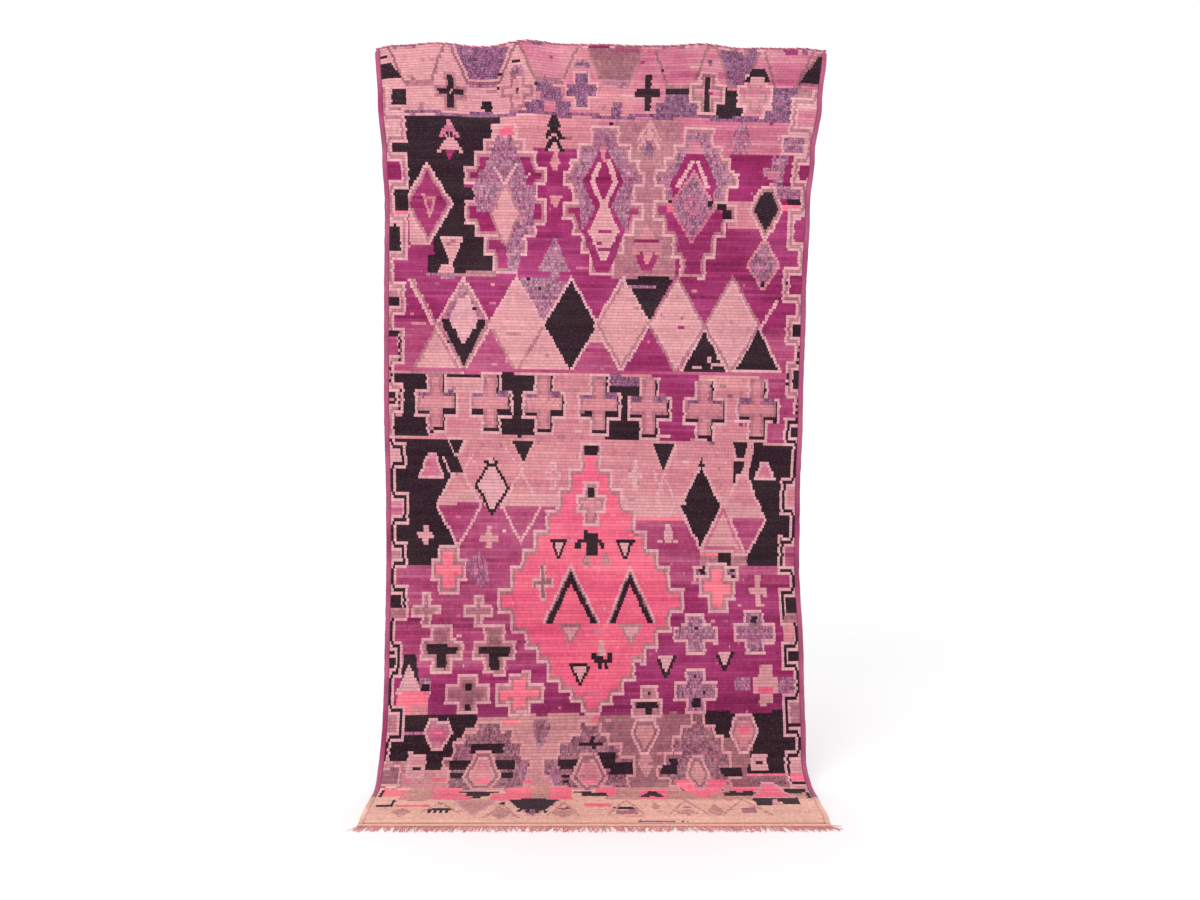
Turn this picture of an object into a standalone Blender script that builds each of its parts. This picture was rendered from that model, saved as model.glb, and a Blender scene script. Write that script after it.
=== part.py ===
"""A hand-knotted wool rug, hung by its top edge, whose lower end sweeps forward and lies on the floor.

Metres, +Z up, the face of the rug towards -Y. The origin is on the axis of the head cord, at the
middle of the rug, where the rug is hung. The floor is HANG_HEIGHT below it.
"""

import math
from collections import namedtuple

import bmesh
import bpy
import numpy as np

# Driving dimensions.
HANG_HEIGHT = 2.81
RUG_LENGTH = 3.19
RUG_THICKNESS = 0.012
SELVEDGE_WIDTH = 0.020
SELVEDGE_ROUNDING = 0.0035
HEAD_CORD_RADIUS = 0.0045
GAP = 0.0003

# The sweep: how far along the cloth it turns from straight down to level, and how the turn builds up,
# as a soft part that begins early and a tight part near the floor.
SWEEP_LENGTH = 0.90
SOFT_SHARE = 0.35
SOFT_POWER = 2
TIGHT_POWER = 7

# The side edges, as distances from the rug's middle line at places down the cloth. One end of the
# weave is wider than the rest, as it came off the loom.
Side = namedtuple("Side", "down left right")
SIDES = (
    Side(0.00, 0.842, 0.896),
    Side(0.22, 0.831, 0.877),
    Side(0.42, 0.815, 0.850),
    Side(0.62, 0.805, 0.831),
    Side(1.00, 0.808, 0.815),
    Side(1.38, 0.808, 0.804),
    Side(1.76, 0.800, 0.792),
    Side(1.98, 0.799, 0.789),
    Side(2.34, 0.804, 0.804),
    Side(2.60, 0.803, 0.803),
    Side(2.76, 0.803, 0.794),
    Side(2.90, 0.798, 0.802),
    Side(3.10, 0.791, 0.799),
    Side(RUG_LENGTH, 0.783, 0.791),
)

# The top edge rises where it is held and sags between: its rise at shares of the width, and how far
# down the cloth the sag is still felt.
Crest = namedtuple("Crest", "share rise")
CRESTS = (
    Crest(0.00, -0.018),
    Crest(0.04, -0.007),
    Crest(0.14, 0.005),
    Crest(0.25, -0.007),
    Crest(0.34, 0.011),
    Crest(0.42, 0.002),
    Crest(0.50, 0.000),
    Crest(0.64, -0.011),
    Crest(0.73, 0.005),
    Crest(0.82, -0.018),
    Crest(0.94, -0.018),
    Crest(1.00, -0.026),
)
SAG_DEPTH = 0.55

# Soft upright flutes in the cloth under the top edge: how far they stand out, how far down they die
# away, and how far in from the side edges they are full.
Flute = namedtuple("Flute", "depth waves phase")
FLUTES = (Flute(0.008, 3.5, 0.6), Flute(0.005, 6.0, 2.1))
FLUTE_REACH = 1.25
FLUTE_INSET = 0.10

# The narrow woven strip at the lower end, and the warp ends that leave it.
STRIP_DEPTH = 0.014
STRIP_THICKNESS = 0.006
STRANDS = 128
STRAND_SHARE = 0.50
STRAND_LENGTH = 0.046
STRAND_VARIATION = 0.25
STRAND_STEPS = 2
STRAND_TAPER = 0.86
LEAN_LEFT = 0.55
LEAN_RIGHT = 0.85
LEAN_POWER = 5
Drift = namedtuple("Drift", "angle waves phase")
DRIFTS = (Drift(0.20, 4.3, 0.4), Drift(0.06, 13.7, 1.9))

# How finely the cloth is divided: columns across it, and the steps down it.
FIELD_COLUMNS = 28
STRAIGHT_STEP = 0.075
SWEEP_STEP = 0.036
PROFILE_STEP = 0.001


def smooth_between(places, values, at):
    """Eases from each value of a table to the next, level at every row."""
    row = int(np.clip(np.searchsorted(places, at, "right") - 1, 0, len(places) - 2))
    part = float(np.clip((at - places[row]) / (places[row + 1] - places[row]), 0.0, 1.0))
    eased = part * part * (3 - 2 * part)
    return values[row] + (values[row + 1] - values[row]) * eased


def sweep_profile():
    """Forward reach and drop along the sweep, from its start to where the cloth lies level."""
    along = np.arange(0.0, SWEEP_LENGTH + PROFILE_STEP / 2, PROFILE_STEP)
    part = along / SWEEP_LENGTH
    turn = SOFT_SHARE * part**SOFT_POWER + (1 - SOFT_SHARE) * part**TIGHT_POWER
    heading = (turn[1:] + turn[:-1]) / 2 * math.pi / 2
    forward = np.concatenate([[0.0], np.cumsum(np.sin(heading) * PROFILE_STEP)])
    drop = np.concatenate([[0.0], np.cumsum(np.cos(heading) * PROFILE_STEP)])
    return along, forward, drop


ALONG, FORWARD, DROP = sweep_profile()
TOP_OF_CLOTH = -HEAD_CORD_RADIUS - GAP
STRAIGHT_LENGTH = HANG_HEIGHT + TOP_OF_CLOTH - RUG_THICKNESS / 2 - DROP[-1]
LEVEL_FROM = STRAIGHT_LENGTH + SWEEP_LENGTH


def sides_at(down):
    """Distances of the left and right side edges from the middle line."""
    places = [side.down for side in SIDES]
    left = smooth_between(places, [side.left for side in SIDES], down)
    right = smooth_between(places, [side.right for side in SIDES], down)
    return left, right


def flute_depth(share, width, down):
    """How far the cloth stands forward in its soft flutes."""
    from_side = min(share, 1 - share) * width
    fade = max(0.0, 1 - down / FLUTE_REACH) ** 2 * min(1.0, from_side / FLUTE_INSET)
    waves = sum(f.depth * math.sin(2 * math.pi * f.waves * share + f.phase) for f in FLUTES)
    return waves * fade


def cloth_point(x, down):
    """The middle of the cloth's thickness at x, at a distance down the cloth from its top edge."""
    left, right = sides_at(down)
    share = (x + left) / (left + right)
    past = down - STRAIGHT_LENGTH
    forward = float(np.interp(past, ALONG, FORWARD)) + max(0.0, down - LEVEL_FROM)
    drop = min(down, STRAIGHT_LENGTH) + float(np.interp(past, ALONG, DROP))
    rise = smooth_between([c.share for c in CRESTS], [c.rise for c in CRESTS], share)
    sag = max(0.0, 1 - down / SAG_DEPTH) ** 2
    y = -forward - flute_depth(share, left + right, down)
    return x, y, TOP_OF_CLOTH - drop + rise * sag


def even_stations(start, end, step):
    return list(np.linspace(start, end, max(1, round((end - start) / step)) + 1))


def cloth_stations():
    """Distances down the cloth at which it is divided, closer together where it turns most."""
    tight_from = STRAIGHT_LENGTH + SWEEP_LENGTH / 2
    straight = even_stations(0.0, tight_from, STRAIGHT_STEP)
    sweep = even_stations(tight_from, LEVEL_FROM, SWEEP_STEP)
    level = even_stations(LEVEL_FROM, RUG_LENGTH, STRAIGHT_STEP)
    return straight + sweep[1:] + level[1:]


def make_material(name, colour, roughness):
    made = bpy.data.materials.new(name)
    made.use_nodes = True
    shader = made.node_tree.nodes["Principled BSDF"]
    shader.inputs["Base Color"].default_value = (*colour, 1.0)
    shader.inputs["Roughness"].default_value = roughness
    shader.inputs["Metallic"].default_value = 0.0
    made.diffuse_color = (*colour, 1.0)
    return made


def place_object(name, data, home, finish):
    thing = bpy.data.objects.new(name, data)
    home.objects.link(thing)
    data.materials.append(finish)
    return thing


def shade_smooth(mesh, angle):
    mesh.shade_smooth()
    mesh.set_sharp_from_angle(angle=math.radians(angle))


def cloth_panel(name, home, finish, columns, x_at):
    """A panel of the cloth: a grid laid on the hanging sheet, then given its thickness.

    x_at(share, down) gives where a place across the panel lies across the rug.
    """
    stations = cloth_stations()
    rows = len(stations) - 1
    shape = bmesh.new()
    bmesh.ops.create_grid(shape, x_segments=columns, y_segments=rows, size=0.5)
    for point in shape.verts:
        down = stations[round((0.5 - point.co.y) * rows)]
        point.co = cloth_point(x_at(point.co.x + 0.5, down), down)
    mesh = bpy.data.meshes.new(name)
    shape.to_mesh(mesh)
    shape.free()
    shade_smooth(mesh, 60)
    panel = place_object(name, mesh, home, finish)
    wall = panel.modifiers.new("Thickness", "SOLIDIFY")
    wall.thickness = RUG_THICKNESS
    wall.offset = 0.0
    return panel


def field_x(share, down):
    left, right = sides_at(down)
    inset = SELVEDGE_WIDTH + GAP
    return -left + inset + (left + right - 2 * inset) * share


def left_selvedge_x(share, down):
    return -sides_at(down)[0] + SELVEDGE_WIDTH * share


def right_selvedge_x(share, down):
    return sides_at(down)[1] - SELVEDGE_WIDTH * (1 - share)


def make_selvedge(name, home, finish, x_at):
    """An overcast side edge: a band as thick as the rug, with rounded edges."""
    band = cloth_panel(name, home, finish, 1, x_at)
    rounding = band.modifiers.new("Rounding", "BEVEL")
    rounding.width = SELVEDGE_ROUNDING
    rounding.segments = 1
    rounding.limit_method = "ANGLE"
    rounding.angle_limit = math.radians(50)


def make_head_cord(home, finish):
    """The twined cord that closes the warp ends along the top edge."""
    across = [left_selvedge_x(0, 0)]
    across += [field_x(column / FIELD_COLUMNS, 0) for column in range(FIELD_COLUMNS + 1)]
    across += [right_selvedge_x(1, 0)]
    curve = bpy.data.curves.new("head_cord", "CURVE")
    curve.dimensions = "3D"
    curve.bevel_depth = HEAD_CORD_RADIUS
    curve.bevel_resolution = 2
    curve.use_fill_caps = True
    line = curve.splines.new("POLY")
    line.points.add(len(across) - 1)
    for point, x in zip(line.points, across, strict=True):
        _, y, z = cloth_point(x, 0)
        point.co = (x, y, z - TOP_OF_CLOTH, 1.0)
    place_object("head_cord", curve, home, finish)


def strand_direction(share):
    """Which way a warp end lies on the floor: outwards near the corners, and drifting between.

    share runs from -1 at the left corner to 1 at the right one.
    """
    lean = (LEAN_RIGHT if share > 0 else LEAN_LEFT) * share**LEAN_POWER
    lean += sum(d.angle * math.sin(d.waves * math.pi * share + d.phase) for d in DRIFTS)
    return math.sin(lean), -math.cos(lean)


def draw_out_strand(shape, face, number, share):
    """Draws one face of the strip's front out into a tapering strand that lies level on the floor."""
    floor = -HANG_HEIGHT
    sideways, forward = strand_direction(share)
    step = STRAND_LENGTH * (1 + STRAND_VARIATION * math.sin(2.4 * number)) / STRAND_STEPS
    for _ in range(STRAND_STEPS):
        face = bmesh.ops.extrude_discrete_faces(shape, faces=[face])["faces"][0]
        middle = face.calc_center_median().x
        for point in face.verts:
            point.co.x = middle + (point.co.x - middle) * STRAND_TAPER + sideways * step
            point.co.y += forward * step
            point.co.z = floor + (point.co.z - floor) * STRAND_TAPER


def strip_x(column, left, right):
    """Where the strip is divided across: a strand's two sides, then the next strand's."""
    pitch = (left + right) / STRANDS
    strand, side = divmod(column - 1, 2)
    x = -left + pitch * (strand + 0.5 + (side - 0.5) * STRAND_SHARE)
    return min(right, max(-left, x))


def make_fringe(home, finish):
    """The flat-woven strip past the last row of pile, with the warp ends that leave it."""
    left, right = sides_at(RUG_LENGTH)
    back = cloth_point(0, RUG_LENGTH)[1] - GAP
    divisions = 2 * STRANDS + 1
    shape = bmesh.new()
    bmesh.ops.create_grid(shape, x_segments=divisions, y_segments=1, size=0.5)
    for point in shape.verts:
        x = strip_x(round((point.co.x + 0.5) * divisions), left, right)
        point.co = (x, back - STRIP_DEPTH, -HANG_HEIGHT + (point.co.y + 0.5) * STRIP_THICKNESS)
    front = sorted(shape.faces, key=lambda face: face.calc_center_median().x)
    rear = bmesh.ops.extrude_face_region(shape, geom=front, use_keep_orig=True)["geom"]
    rear_points = [part for part in rear if isinstance(part, bmesh.types.BMVert)]
    bmesh.ops.translate(shape, verts=rear_points, vec=(0, STRIP_DEPTH, 0))
    bmesh.ops.recalc_face_normals(shape, faces=shape.faces)
    for number, face in enumerate(front[1::2]):
        draw_out_strand(shape, face, number, (2 * number + 1) / STRANDS - 1)
    mesh = bpy.data.meshes.new("fringe")
    shape.to_mesh(mesh)
    shape.free()
    shade_smooth(mesh, 35)
    place_object("fringe", mesh, home, finish)


def main():
    for old in list(bpy.data.objects):
        bpy.data.objects.remove(old)
    home = bpy.data.collections.new("hung_rug")
    bpy.context.scene.collection.children.link(home)
    pile = make_material("wool pile", (0.51, 0.13, 0.22), 0.92)
    overcast = make_material("overcast side wool", (0.38, 0.08, 0.17), 0.90)
    twine = make_material("twined head wool", (0.61, 0.26, 0.30), 0.90)
    warp = make_material("dyed warp ends", (0.72, 0.16, 0.14), 0.88)
    cloth_panel("field", home, pile, FIELD_COLUMNS, field_x)
    make_selvedge("selvedge_left", home, overcast, left_selvedge_x)
    make_selvedge("selvedge_right", home, overcast, right_selvedge_x)
    make_head_cord(home, twine)
    make_fringe(home, warp)


main()
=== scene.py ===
"""A vintage hand-knotted wool rug, hung by its top edge, with its lower end swept on to the floor.

The file is laid out as an add-on. Each operator makes one piece of the rug, or a group of like
pieces, in metres: the knotted pile with its charted pattern, the ground weave that shows at the back,
the overcast side edges, the twined head cord, and the woven end strip with its fringe.
"""

import math
from collections import namedtuple

import bmesh
import bpy
import numpy as np
from bpy.props import FloatProperty, FloatVectorProperty, IntProperty, PointerProperty
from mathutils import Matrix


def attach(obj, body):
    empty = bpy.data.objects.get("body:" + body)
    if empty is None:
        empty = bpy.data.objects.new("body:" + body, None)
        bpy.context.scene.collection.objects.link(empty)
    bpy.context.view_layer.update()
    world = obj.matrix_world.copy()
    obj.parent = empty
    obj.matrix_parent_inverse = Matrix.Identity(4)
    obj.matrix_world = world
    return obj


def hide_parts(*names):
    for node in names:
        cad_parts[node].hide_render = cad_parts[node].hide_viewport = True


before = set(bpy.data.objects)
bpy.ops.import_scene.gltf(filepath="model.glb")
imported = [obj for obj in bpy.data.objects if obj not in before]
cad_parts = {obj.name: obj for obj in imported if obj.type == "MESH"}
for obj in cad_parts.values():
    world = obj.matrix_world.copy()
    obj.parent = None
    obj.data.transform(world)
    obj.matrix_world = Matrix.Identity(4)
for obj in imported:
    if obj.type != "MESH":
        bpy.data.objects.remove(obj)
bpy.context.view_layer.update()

bl_info = {
    "name": "Hung knotted rug",
    "version": (1, 0, 0),
    "blender": (4, 5, 0),
    "location": "View3D > Sidebar > Rug",
    "description": "A hand-knotted wool rug hung by its top edge, its lower end swept on to the floor",
    "category": "Add Mesh",
}

SEED = 7

# The hanging sheet. The floor is HANG_HEIGHT below the head cord's axis.
HANG_HEIGHT = 2.81
RUG_LENGTH = 3.19
RUG_THICKNESS = 0.012
SELVEDGE_WIDTH = 0.020
HEAD_CORD_RADIUS = 0.0045
GAP = 0.0003

# The sweep: how far along the cloth it turns from straight down to level, and how the turn builds up.
SWEEP_LENGTH = 0.90
SOFT_SHARE = 0.35
SOFT_POWER = 2
TIGHT_POWER = 7
PROFILE_STEP = 0.001

# The side edges, as distances from the rug's middle line at places down the cloth.
Side = namedtuple("Side", "down left right")
SIDES = (
    Side(0.00, 0.842, 0.896),
    Side(0.22, 0.831, 0.877),
    Side(0.42, 0.815, 0.850),
    Side(0.62, 0.805, 0.831),
    Side(1.00, 0.808, 0.815),
    Side(1.38, 0.808, 0.804),
    Side(1.76, 0.800, 0.792),
    Side(1.98, 0.799, 0.789),
    Side(2.34, 0.804, 0.804),
    Side(2.60, 0.803, 0.803),
    Side(2.76, 0.803, 0.794),
    Side(2.90, 0.798, 0.802),
    Side(3.10, 0.791, 0.799),
    Side(RUG_LENGTH, 0.783, 0.791),
)

# The top edge: its rise at shares of the width, and how far down the cloth the sag is still felt.
Crest = namedtuple("Crest", "share rise")
CRESTS = (
    Crest(0.00, -0.018),
    Crest(0.04, -0.007),
    Crest(0.14, 0.005),
    Crest(0.25, -0.007),
    Crest(0.34, 0.011),
    Crest(0.42, 0.002),
    Crest(0.50, 0.000),
    Crest(0.64, -0.011),
    Crest(0.73, 0.005),
    Crest(0.82, -0.018),
    Crest(0.94, -0.018),
    Crest(1.00, -0.026),
)
SAG_DEPTH = 0.55

# Soft upright flutes in the cloth under the top edge.
Flute = namedtuple("Flute", "depth waves phase")
FLUTES = (Flute(0.008, 3.5, 0.6), Flute(0.005, 6.0, 2.1))
FLUTE_REACH = 1.25
FLUTE_INSET = 0.10

# The weave. Places across the pattern are in columns of two knots, side edges included, and places
# down it in units of a typical row of knots. The rows were beaten down unevenly: how many units lower
# they run at the right edge than at the left one, and how many units one row fills.
COLUMNS = 160
EDGE_COLUMNS = 2
KNOTS = 2 * COLUMNS
EDGE_KNOTS = 2 * EDGE_COLUMNS
UNITS = 256
UNIT = RUG_LENGTH / UNITS
KNOT_WIDTH = 0.005
Skew = namedtuple("Skew", "down fall")
SKEWS = (
    Skew(0, 0.0),
    Skew(22, 2.3),
    Skew(100, 2.0),
    Skew(120, 2.6),
    Skew(145, 1.4),
    Skew(165, 0.0),
    Skew(205, -1.9),
    Skew(235, -0.6),
    Skew(UNITS, 0.0),
)
Beat = namedtuple("Beat", "down pitch")
BEATS = (Beat(0, 0.86), Beat(18, 0.88), Beat(30, 0.96), Beat(90, 0.94), Beat(130, 1.0))
BeatWave = namedtuple("BeatWave", "depth rate")
BEAT_WAVES = (BeatWave(0.05, 1.7), BeatWave(0.04, 0.61))

# On the floor the pile stands above the cloth's middle, so its pattern is seen this many units higher.
Rise = namedtuple("Rise", "down units")
RISES = (Rise(200, 0.0), Rise(222, 0.7), Rise(236, 1.7), Rise(250, 2.4), Rise(UNITS, 2.4))

# Edges of figures waver: by ragged knots, and in waves as long as this across and down.
RAGGED_REACH = 6
RAGGED = 0.13
Waver = namedtuple("Waver", "height across down")
WAVERS = (Waver(0.14, 8.3, 31.0), Waver(0.12, 3.1, 9.0))

# Yarns: colour as it is seen, how strongly it is heathered with lighter and darker fibres, and how
# unevenly it was dyed.
Yarn = namedtuple("Yarn", "name colour heather uneven label")
YARNS = (
    Yarn("pale", (0.845, 0.618, 0.646), 0.10, 0.04, "Pale outlines"),
    Yarn("blush", (0.826, 0.581, 0.600), 0.06, 0.05, "Blush grounds"),
    Yarn("rose", (0.799, 0.510, 0.547), 0.08, 0.06, "Rose grounds"),
    Yarn("pink", (0.776, 0.447, 0.536), 0.08, 0.09, "Pink grounds"),
    Yarn("hot", (0.902, 0.395, 0.505), 0.04, 0.06, "Hot pink"),
    Yarn("coral", (0.956, 0.470, 0.547), 0.05, 0.06, "Coral pink"),
    Yarn("magenta", (0.597, 0.183, 0.387), 0.10, 0.14, "Magenta"),
    Yarn("berry", (0.575, 0.142, 0.360), 0.08, 0.12, "Deep magenta"),
    Yarn("mauve", (0.667, 0.282, 0.440), 0.12, 0.12, "Mauve"),
    Yarn("wine", (0.552, 0.172, 0.366), 0.12, 0.12, "Wine"),
    Yarn("plum", (0.503, 0.302, 0.432), 0.95, 0.05, "Heathered plum"),
    Yarn("lavender", (0.632, 0.402, 0.500), 1.00, 0.06, "Heathered lavender"),
    Yarn("dusk", (0.580, 0.366, 0.418), 1.00, 0.06, "Heathered dusk"),
    Yarn("taupe", (0.692, 0.452, 0.491), 0.25, 0.07, "Taupe"),
    Yarn("umber", (0.605, 0.393, 0.425), 0.25, 0.08, "Deep taupe"),
    Yarn("sand", (0.785, 0.570, 0.530), 0.22, 0.06, "Sandy taupe"),
    Yarn("beige", (0.775, 0.535, 0.545), 0.12, 0.06, "Beige pink"),
    Yarn("peach", (0.921, 0.720, 0.647), 0.10, 0.04, "Peach"),
    Yarn("black", (0.163, 0.084, 0.118), 0.15, 0.14, "Brown black"),
    Yarn("side", (0.650, 0.310, 0.450), 0.20, 0.0, "Side edges"),
    Yarn("warp", (0.930, 0.570, 0.540), 0.10, 0.0, "Warp ends"),
)
NUMBER = {yarn.name: number for number, yarn in enumerate(YARNS)}


class RugSizes(bpy.types.PropertyGroup):
    """Sizes of the rug's yarns and relief."""

    rib_depth: FloatProperty(
        name="Rib depth",
        description="How far the grooves between rows of knots lie under their crests",
        default=0.0016,
        unit="LENGTH",
    )
    tuft_height: FloatProperty(
        name="Tuft height",
        description="How far single tufts stand out of the pile, or lie under it",
        default=0.0005,
        unit="LENGTH",
    )
    ground_share: FloatProperty(
        name="Ground share",
        description="Share of the rug's thickness that is ground weave",
        default=0.35,
        subtype="FACTOR",
    )
    wrap_pitch: FloatProperty(
        name="Wrap pitch",
        description="Distance between the wraps of wool round the side edges",
        default=0.0048,
        unit="LENGTH",
    )
    twine_pitch: FloatProperty(
        name="Twine pitch",
        description="Length of one turn of the head cord",
        default=0.035,
        unit="LENGTH",
    )
    strand_length: FloatProperty(
        name="Strand length",
        description="Length of the warp ends past the woven strip",
        default=0.050,
        unit="LENGTH",
    )
    strand_radius: FloatProperty(
        name="Strand radius",
        description="Radius of one warp end",
        default=0.0015,
        unit="LENGTH",
    )
    strands: IntProperty(
        name="Strands",
        description="Bundles of warp ends along the lower end",
        default=128,
    )


class RugYarns(bpy.types.PropertyGroup):
    """Colours of the rug's yarns."""


for yarn in YARNS:
    RugYarns.__annotations__[yarn.name] = FloatVectorProperty(
        name=yarn.label,
        description=f"Colour of the yarn: {yarn.label.lower()}",
        default=yarn.colour,
        min=0.0,
        max=1.0,
        subtype="COLOR_GAMMA",
    )


class RugStage(bpy.types.PropertyGroup):
    """The view, the floor and the light."""

    eye_height: FloatProperty(
        name="Eye height",
        description="Height of the camera above the floor",
        default=1.25,
        unit="LENGTH",
    )
    distance: FloatProperty(
        name="Distance",
        description="Distance of the camera from the hanging part of the rug",
        default=4.0,
        unit="LENGTH",
    )
    sideways: FloatProperty(
        name="Sideways",
        description="How far the camera stands to the right of the rug's middle",
        default=0.023,
        unit="LENGTH",
    )
    lens: FloatProperty(
        name="Lens",
        description="Focal length on a sensor 36 mm wide",
        default=31.2,
        unit="CAMERA",
    )
    key_power: FloatProperty(
        name="Key power",
        description="Power of the large soft light",
        default=60.0,
        unit="POWER",
    )
    surround: FloatProperty(
        name="Surround",
        description="Brightness of the white surroundings",
        default=1.08,
    )


def sizes():
    return bpy.context.scene.rug_sizes


def linear(colour):
    """A colour as it is seen, turned into the light that a shader works in."""
    colour = np.asarray(colour, float)
    return np.where(colour <= 0.04045, colour / 12.92, ((colour + 0.055) / 1.055) ** 2.4)


def yarn_colour(name):
    return linear(getattr(bpy.context.scene.rug_yarns, name))


# The shape of the hanging cloth.


def sweep_profile():
    """Forward reach, drop and heading along the sweep, from its start to where the cloth lies level."""
    along = np.arange(0.0, SWEEP_LENGTH + PROFILE_STEP / 2, PROFILE_STEP)
    part = along / SWEEP_LENGTH
    heading = (SOFT_SHARE * part**SOFT_POWER + (1 - SOFT_SHARE) * part**TIGHT_POWER) * math.pi / 2
    middle = (heading[1:] + heading[:-1]) / 2
    forward = np.concatenate([[0.0], np.cumsum(np.sin(middle) * PROFILE_STEP)])
    drop = np.concatenate([[0.0], np.cumsum(np.cos(middle) * PROFILE_STEP)])
    return along, forward, drop, heading


ALONG, FORWARD, DROP, HEADING = sweep_profile()
TOP_OF_CLOTH = -HEAD_CORD_RADIUS - GAP
STRAIGHT_LENGTH = HANG_HEIGHT + TOP_OF_CLOTH - RUG_THICKNESS / 2 - DROP[-1]
LEVEL_FROM = STRAIGHT_LENGTH + SWEEP_LENGTH


def smooth_between(places, values, at):
    """Eases from each value of a table to the next, level at every row."""
    places, values = np.array(places), np.array(values)
    row = np.clip(np.searchsorted(places, at, side="right") - 1, 0, len(places) - 2)
    part = np.clip((at - places[row]) / (places[row + 1] - places[row]), 0.0, 1.0)
    return values[row] + (values[row + 1] - values[row]) * part**2 * (3 - 2 * part)


def sides_at(down):
    """How far the left and right edges are from the rug's middle line, at a distance down the cloth."""
    places, left, right = zip(*SIDES, strict=True)
    return smooth_between(places, left, down), smooth_between(places, right, down)


def edges_at(down):
    """The same at one place, as plain numbers."""
    return [float(side) for side in sides_at(np.array(down))]


def layer_lifts():
    """How far the pile face and the top of the ground weave are from the cloth's middle."""
    face = RUG_THICKNESS / 2
    return face, -face + RUG_THICKNESS * sizes().ground_share


def field_width():
    """The width between the side bands at half the rug's length."""
    return sum(edges_at(RUG_LENGTH / 2)) - 2 * SELVEDGE_WIDTH


def cloth_points(x, down, lift):
    """Points at x, at a distance down the cloth, lifted off its middle towards the pile face."""
    x, down, lift = np.broadcast_arrays(x, down, lift)
    left, right = sides_at(down)
    width = left + right
    share = (x + left) / width
    past = down - STRAIGHT_LENGTH
    heading = np.interp(past, ALONG, HEADING)
    forward = np.interp(past, ALONG, FORWARD) + np.maximum(0.0, down - LEVEL_FROM)
    drop = np.minimum(down, STRAIGHT_LENGTH) + np.interp(past, ALONG, DROP)
    rise = smooth_between(*zip(*CRESTS, strict=True), share)
    sag = np.maximum(0.0, 1 - down / SAG_DEPTH) ** 2
    from_side = np.minimum(share, 1 - share) * width
    fade = np.maximum(0.0, 1 - down / FLUTE_REACH) ** 2 * np.clip(from_side / FLUTE_INSET, 0.0, 1.0)
    flutes = sum(f.depth * np.sin(2 * math.pi * f.waves * share + f.phase) for f in FLUTES)
    y = -forward - flutes * fade - lift * np.cos(heading)
    z = TOP_OF_CLOTH - drop + rise * sag + lift * np.sin(heading)
    return np.stack([x, y, z], axis=-1)


def between(table, at):
    """The value of a table of two columns at a place, straight from row to row."""
    return np.interp(at, [row[0] for row in table], [row[1] for row in table])


def row_ends():
    """Where each row of knots ends, in units down the pattern."""
    place, places = 0.0, [0.0]
    while place < UNITS - 0.5:
        uneven = sum((wave.depth * math.sin(place * wave.rate) for wave in BEAT_WAVES), 1)
        place += between(BEATS, place) * uneven
        places.append(place)
    return np.array(places) * UNITS / place


ROW_ENDS = row_ends()
ROWS = len(ROW_ENDS) - 1


def askew(column, down):
    """How many units lower than at the rug's middle the rows run at a column."""
    return between(SKEWS, down) * (column / COLUMNS - 0.5)


def field_points(column, row, lift):
    """Points of the knotted field at places in knots and rows, from the rug's upper left corner."""
    place = np.interp(row, np.arange(ROWS + 1), ROW_ENDS)
    down = np.clip((place + askew(column, place)) * UNIT, 0.0, RUG_LENGTH)
    left, right = sides_at(down)
    inset = SELVEDGE_WIDTH + GAP
    share = (column - EDGE_COLUMNS) / (COLUMNS - 2 * EDGE_COLUMNS)
    return cloth_points(-left + inset + (left + right - 2 * inset) * share, down, lift)


# Making and finishing meshes.


def deselect_all():
    bpy.ops.object.select_all(action="DESELECT")


def make_active(thing):
    deselect_all()
    thing.select_set(True)
    bpy.context.view_layer.objects.active = thing


def corner_points(mesh):
    found = np.empty(len(mesh.vertices) * 3, np.float32)
    mesh.vertices.foreach_get("co", found)
    return found.reshape(-1, 3)


def add_grid(columns, rows, place):
    """Adds a grid and lays it with place(column, row). Gives it back with its corners' numbers."""
    deselect_all()
    bpy.ops.mesh.primitive_grid_add(x_subdivisions=columns, y_subdivisions=rows, size=1)
    grid = bpy.context.object
    flat = corner_points(grid.data)
    column = np.rint((flat[:, 0] + 0.5) * columns).astype(int)
    row = np.rint((0.5 - flat[:, 1]) * rows).astype(int)
    grid.data.vertices.foreach_set("co", place(column, row).astype(np.float32).ravel())
    numbers = np.empty((rows + 1, columns + 1), int)
    numbers[row, column] = np.arange(len(flat))
    return grid, numbers


def join_pieces(pieces):
    make_active(pieces[0])
    for piece in pieces[1:]:
        piece.select_set(True)
    bpy.ops.object.join()
    return pieces[0]


def border_sides(numbers):
    """The four sides of a grid of corner numbers, going round it."""
    return numbers[:, 0], numbers[-1, :], numbers[::-1, -1], numbers[0, ::-1]


def close_rim(piece, fine, coarse):
    """Closes the gap between two grids over one outline, one a whole number of times finer."""
    shape = bmesh.new()
    shape.from_mesh(piece.data)
    shape.verts.ensure_lookup_table()
    for fine_side, coarse_side in zip(border_sides(fine), border_sides(coarse), strict=True):
        times = (len(fine_side) - 1) // (len(coarse_side) - 1)
        for step in range(len(coarse_side) - 1):
            run = list(fine_side[step * times : (step + 1) * times + 1])
            ring = run + [coarse_side[step + 1], coarse_side[step]]
            shape.faces.new([shape.verts[number] for number in ring])
    bmesh.ops.recalc_face_normals(shape, faces=shape.faces)
    shape.to_mesh(piece.data)
    shape.free()


def closed_sheet(name, fine, coarse):
    """A closed body from a fine grid and a coarse one. Each is (columns, rows, place)."""
    fine_piece, fine_numbers = add_grid(*fine)
    coarse_piece, coarse_numbers = add_grid(*coarse)
    offset = len(fine_piece.data.vertices)
    piece = join_pieces([fine_piece, coarse_piece])
    close_rim(piece, fine_numbers, coarse_numbers + offset)
    piece.name = name
    piece.data.name = name
    return piece


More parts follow.
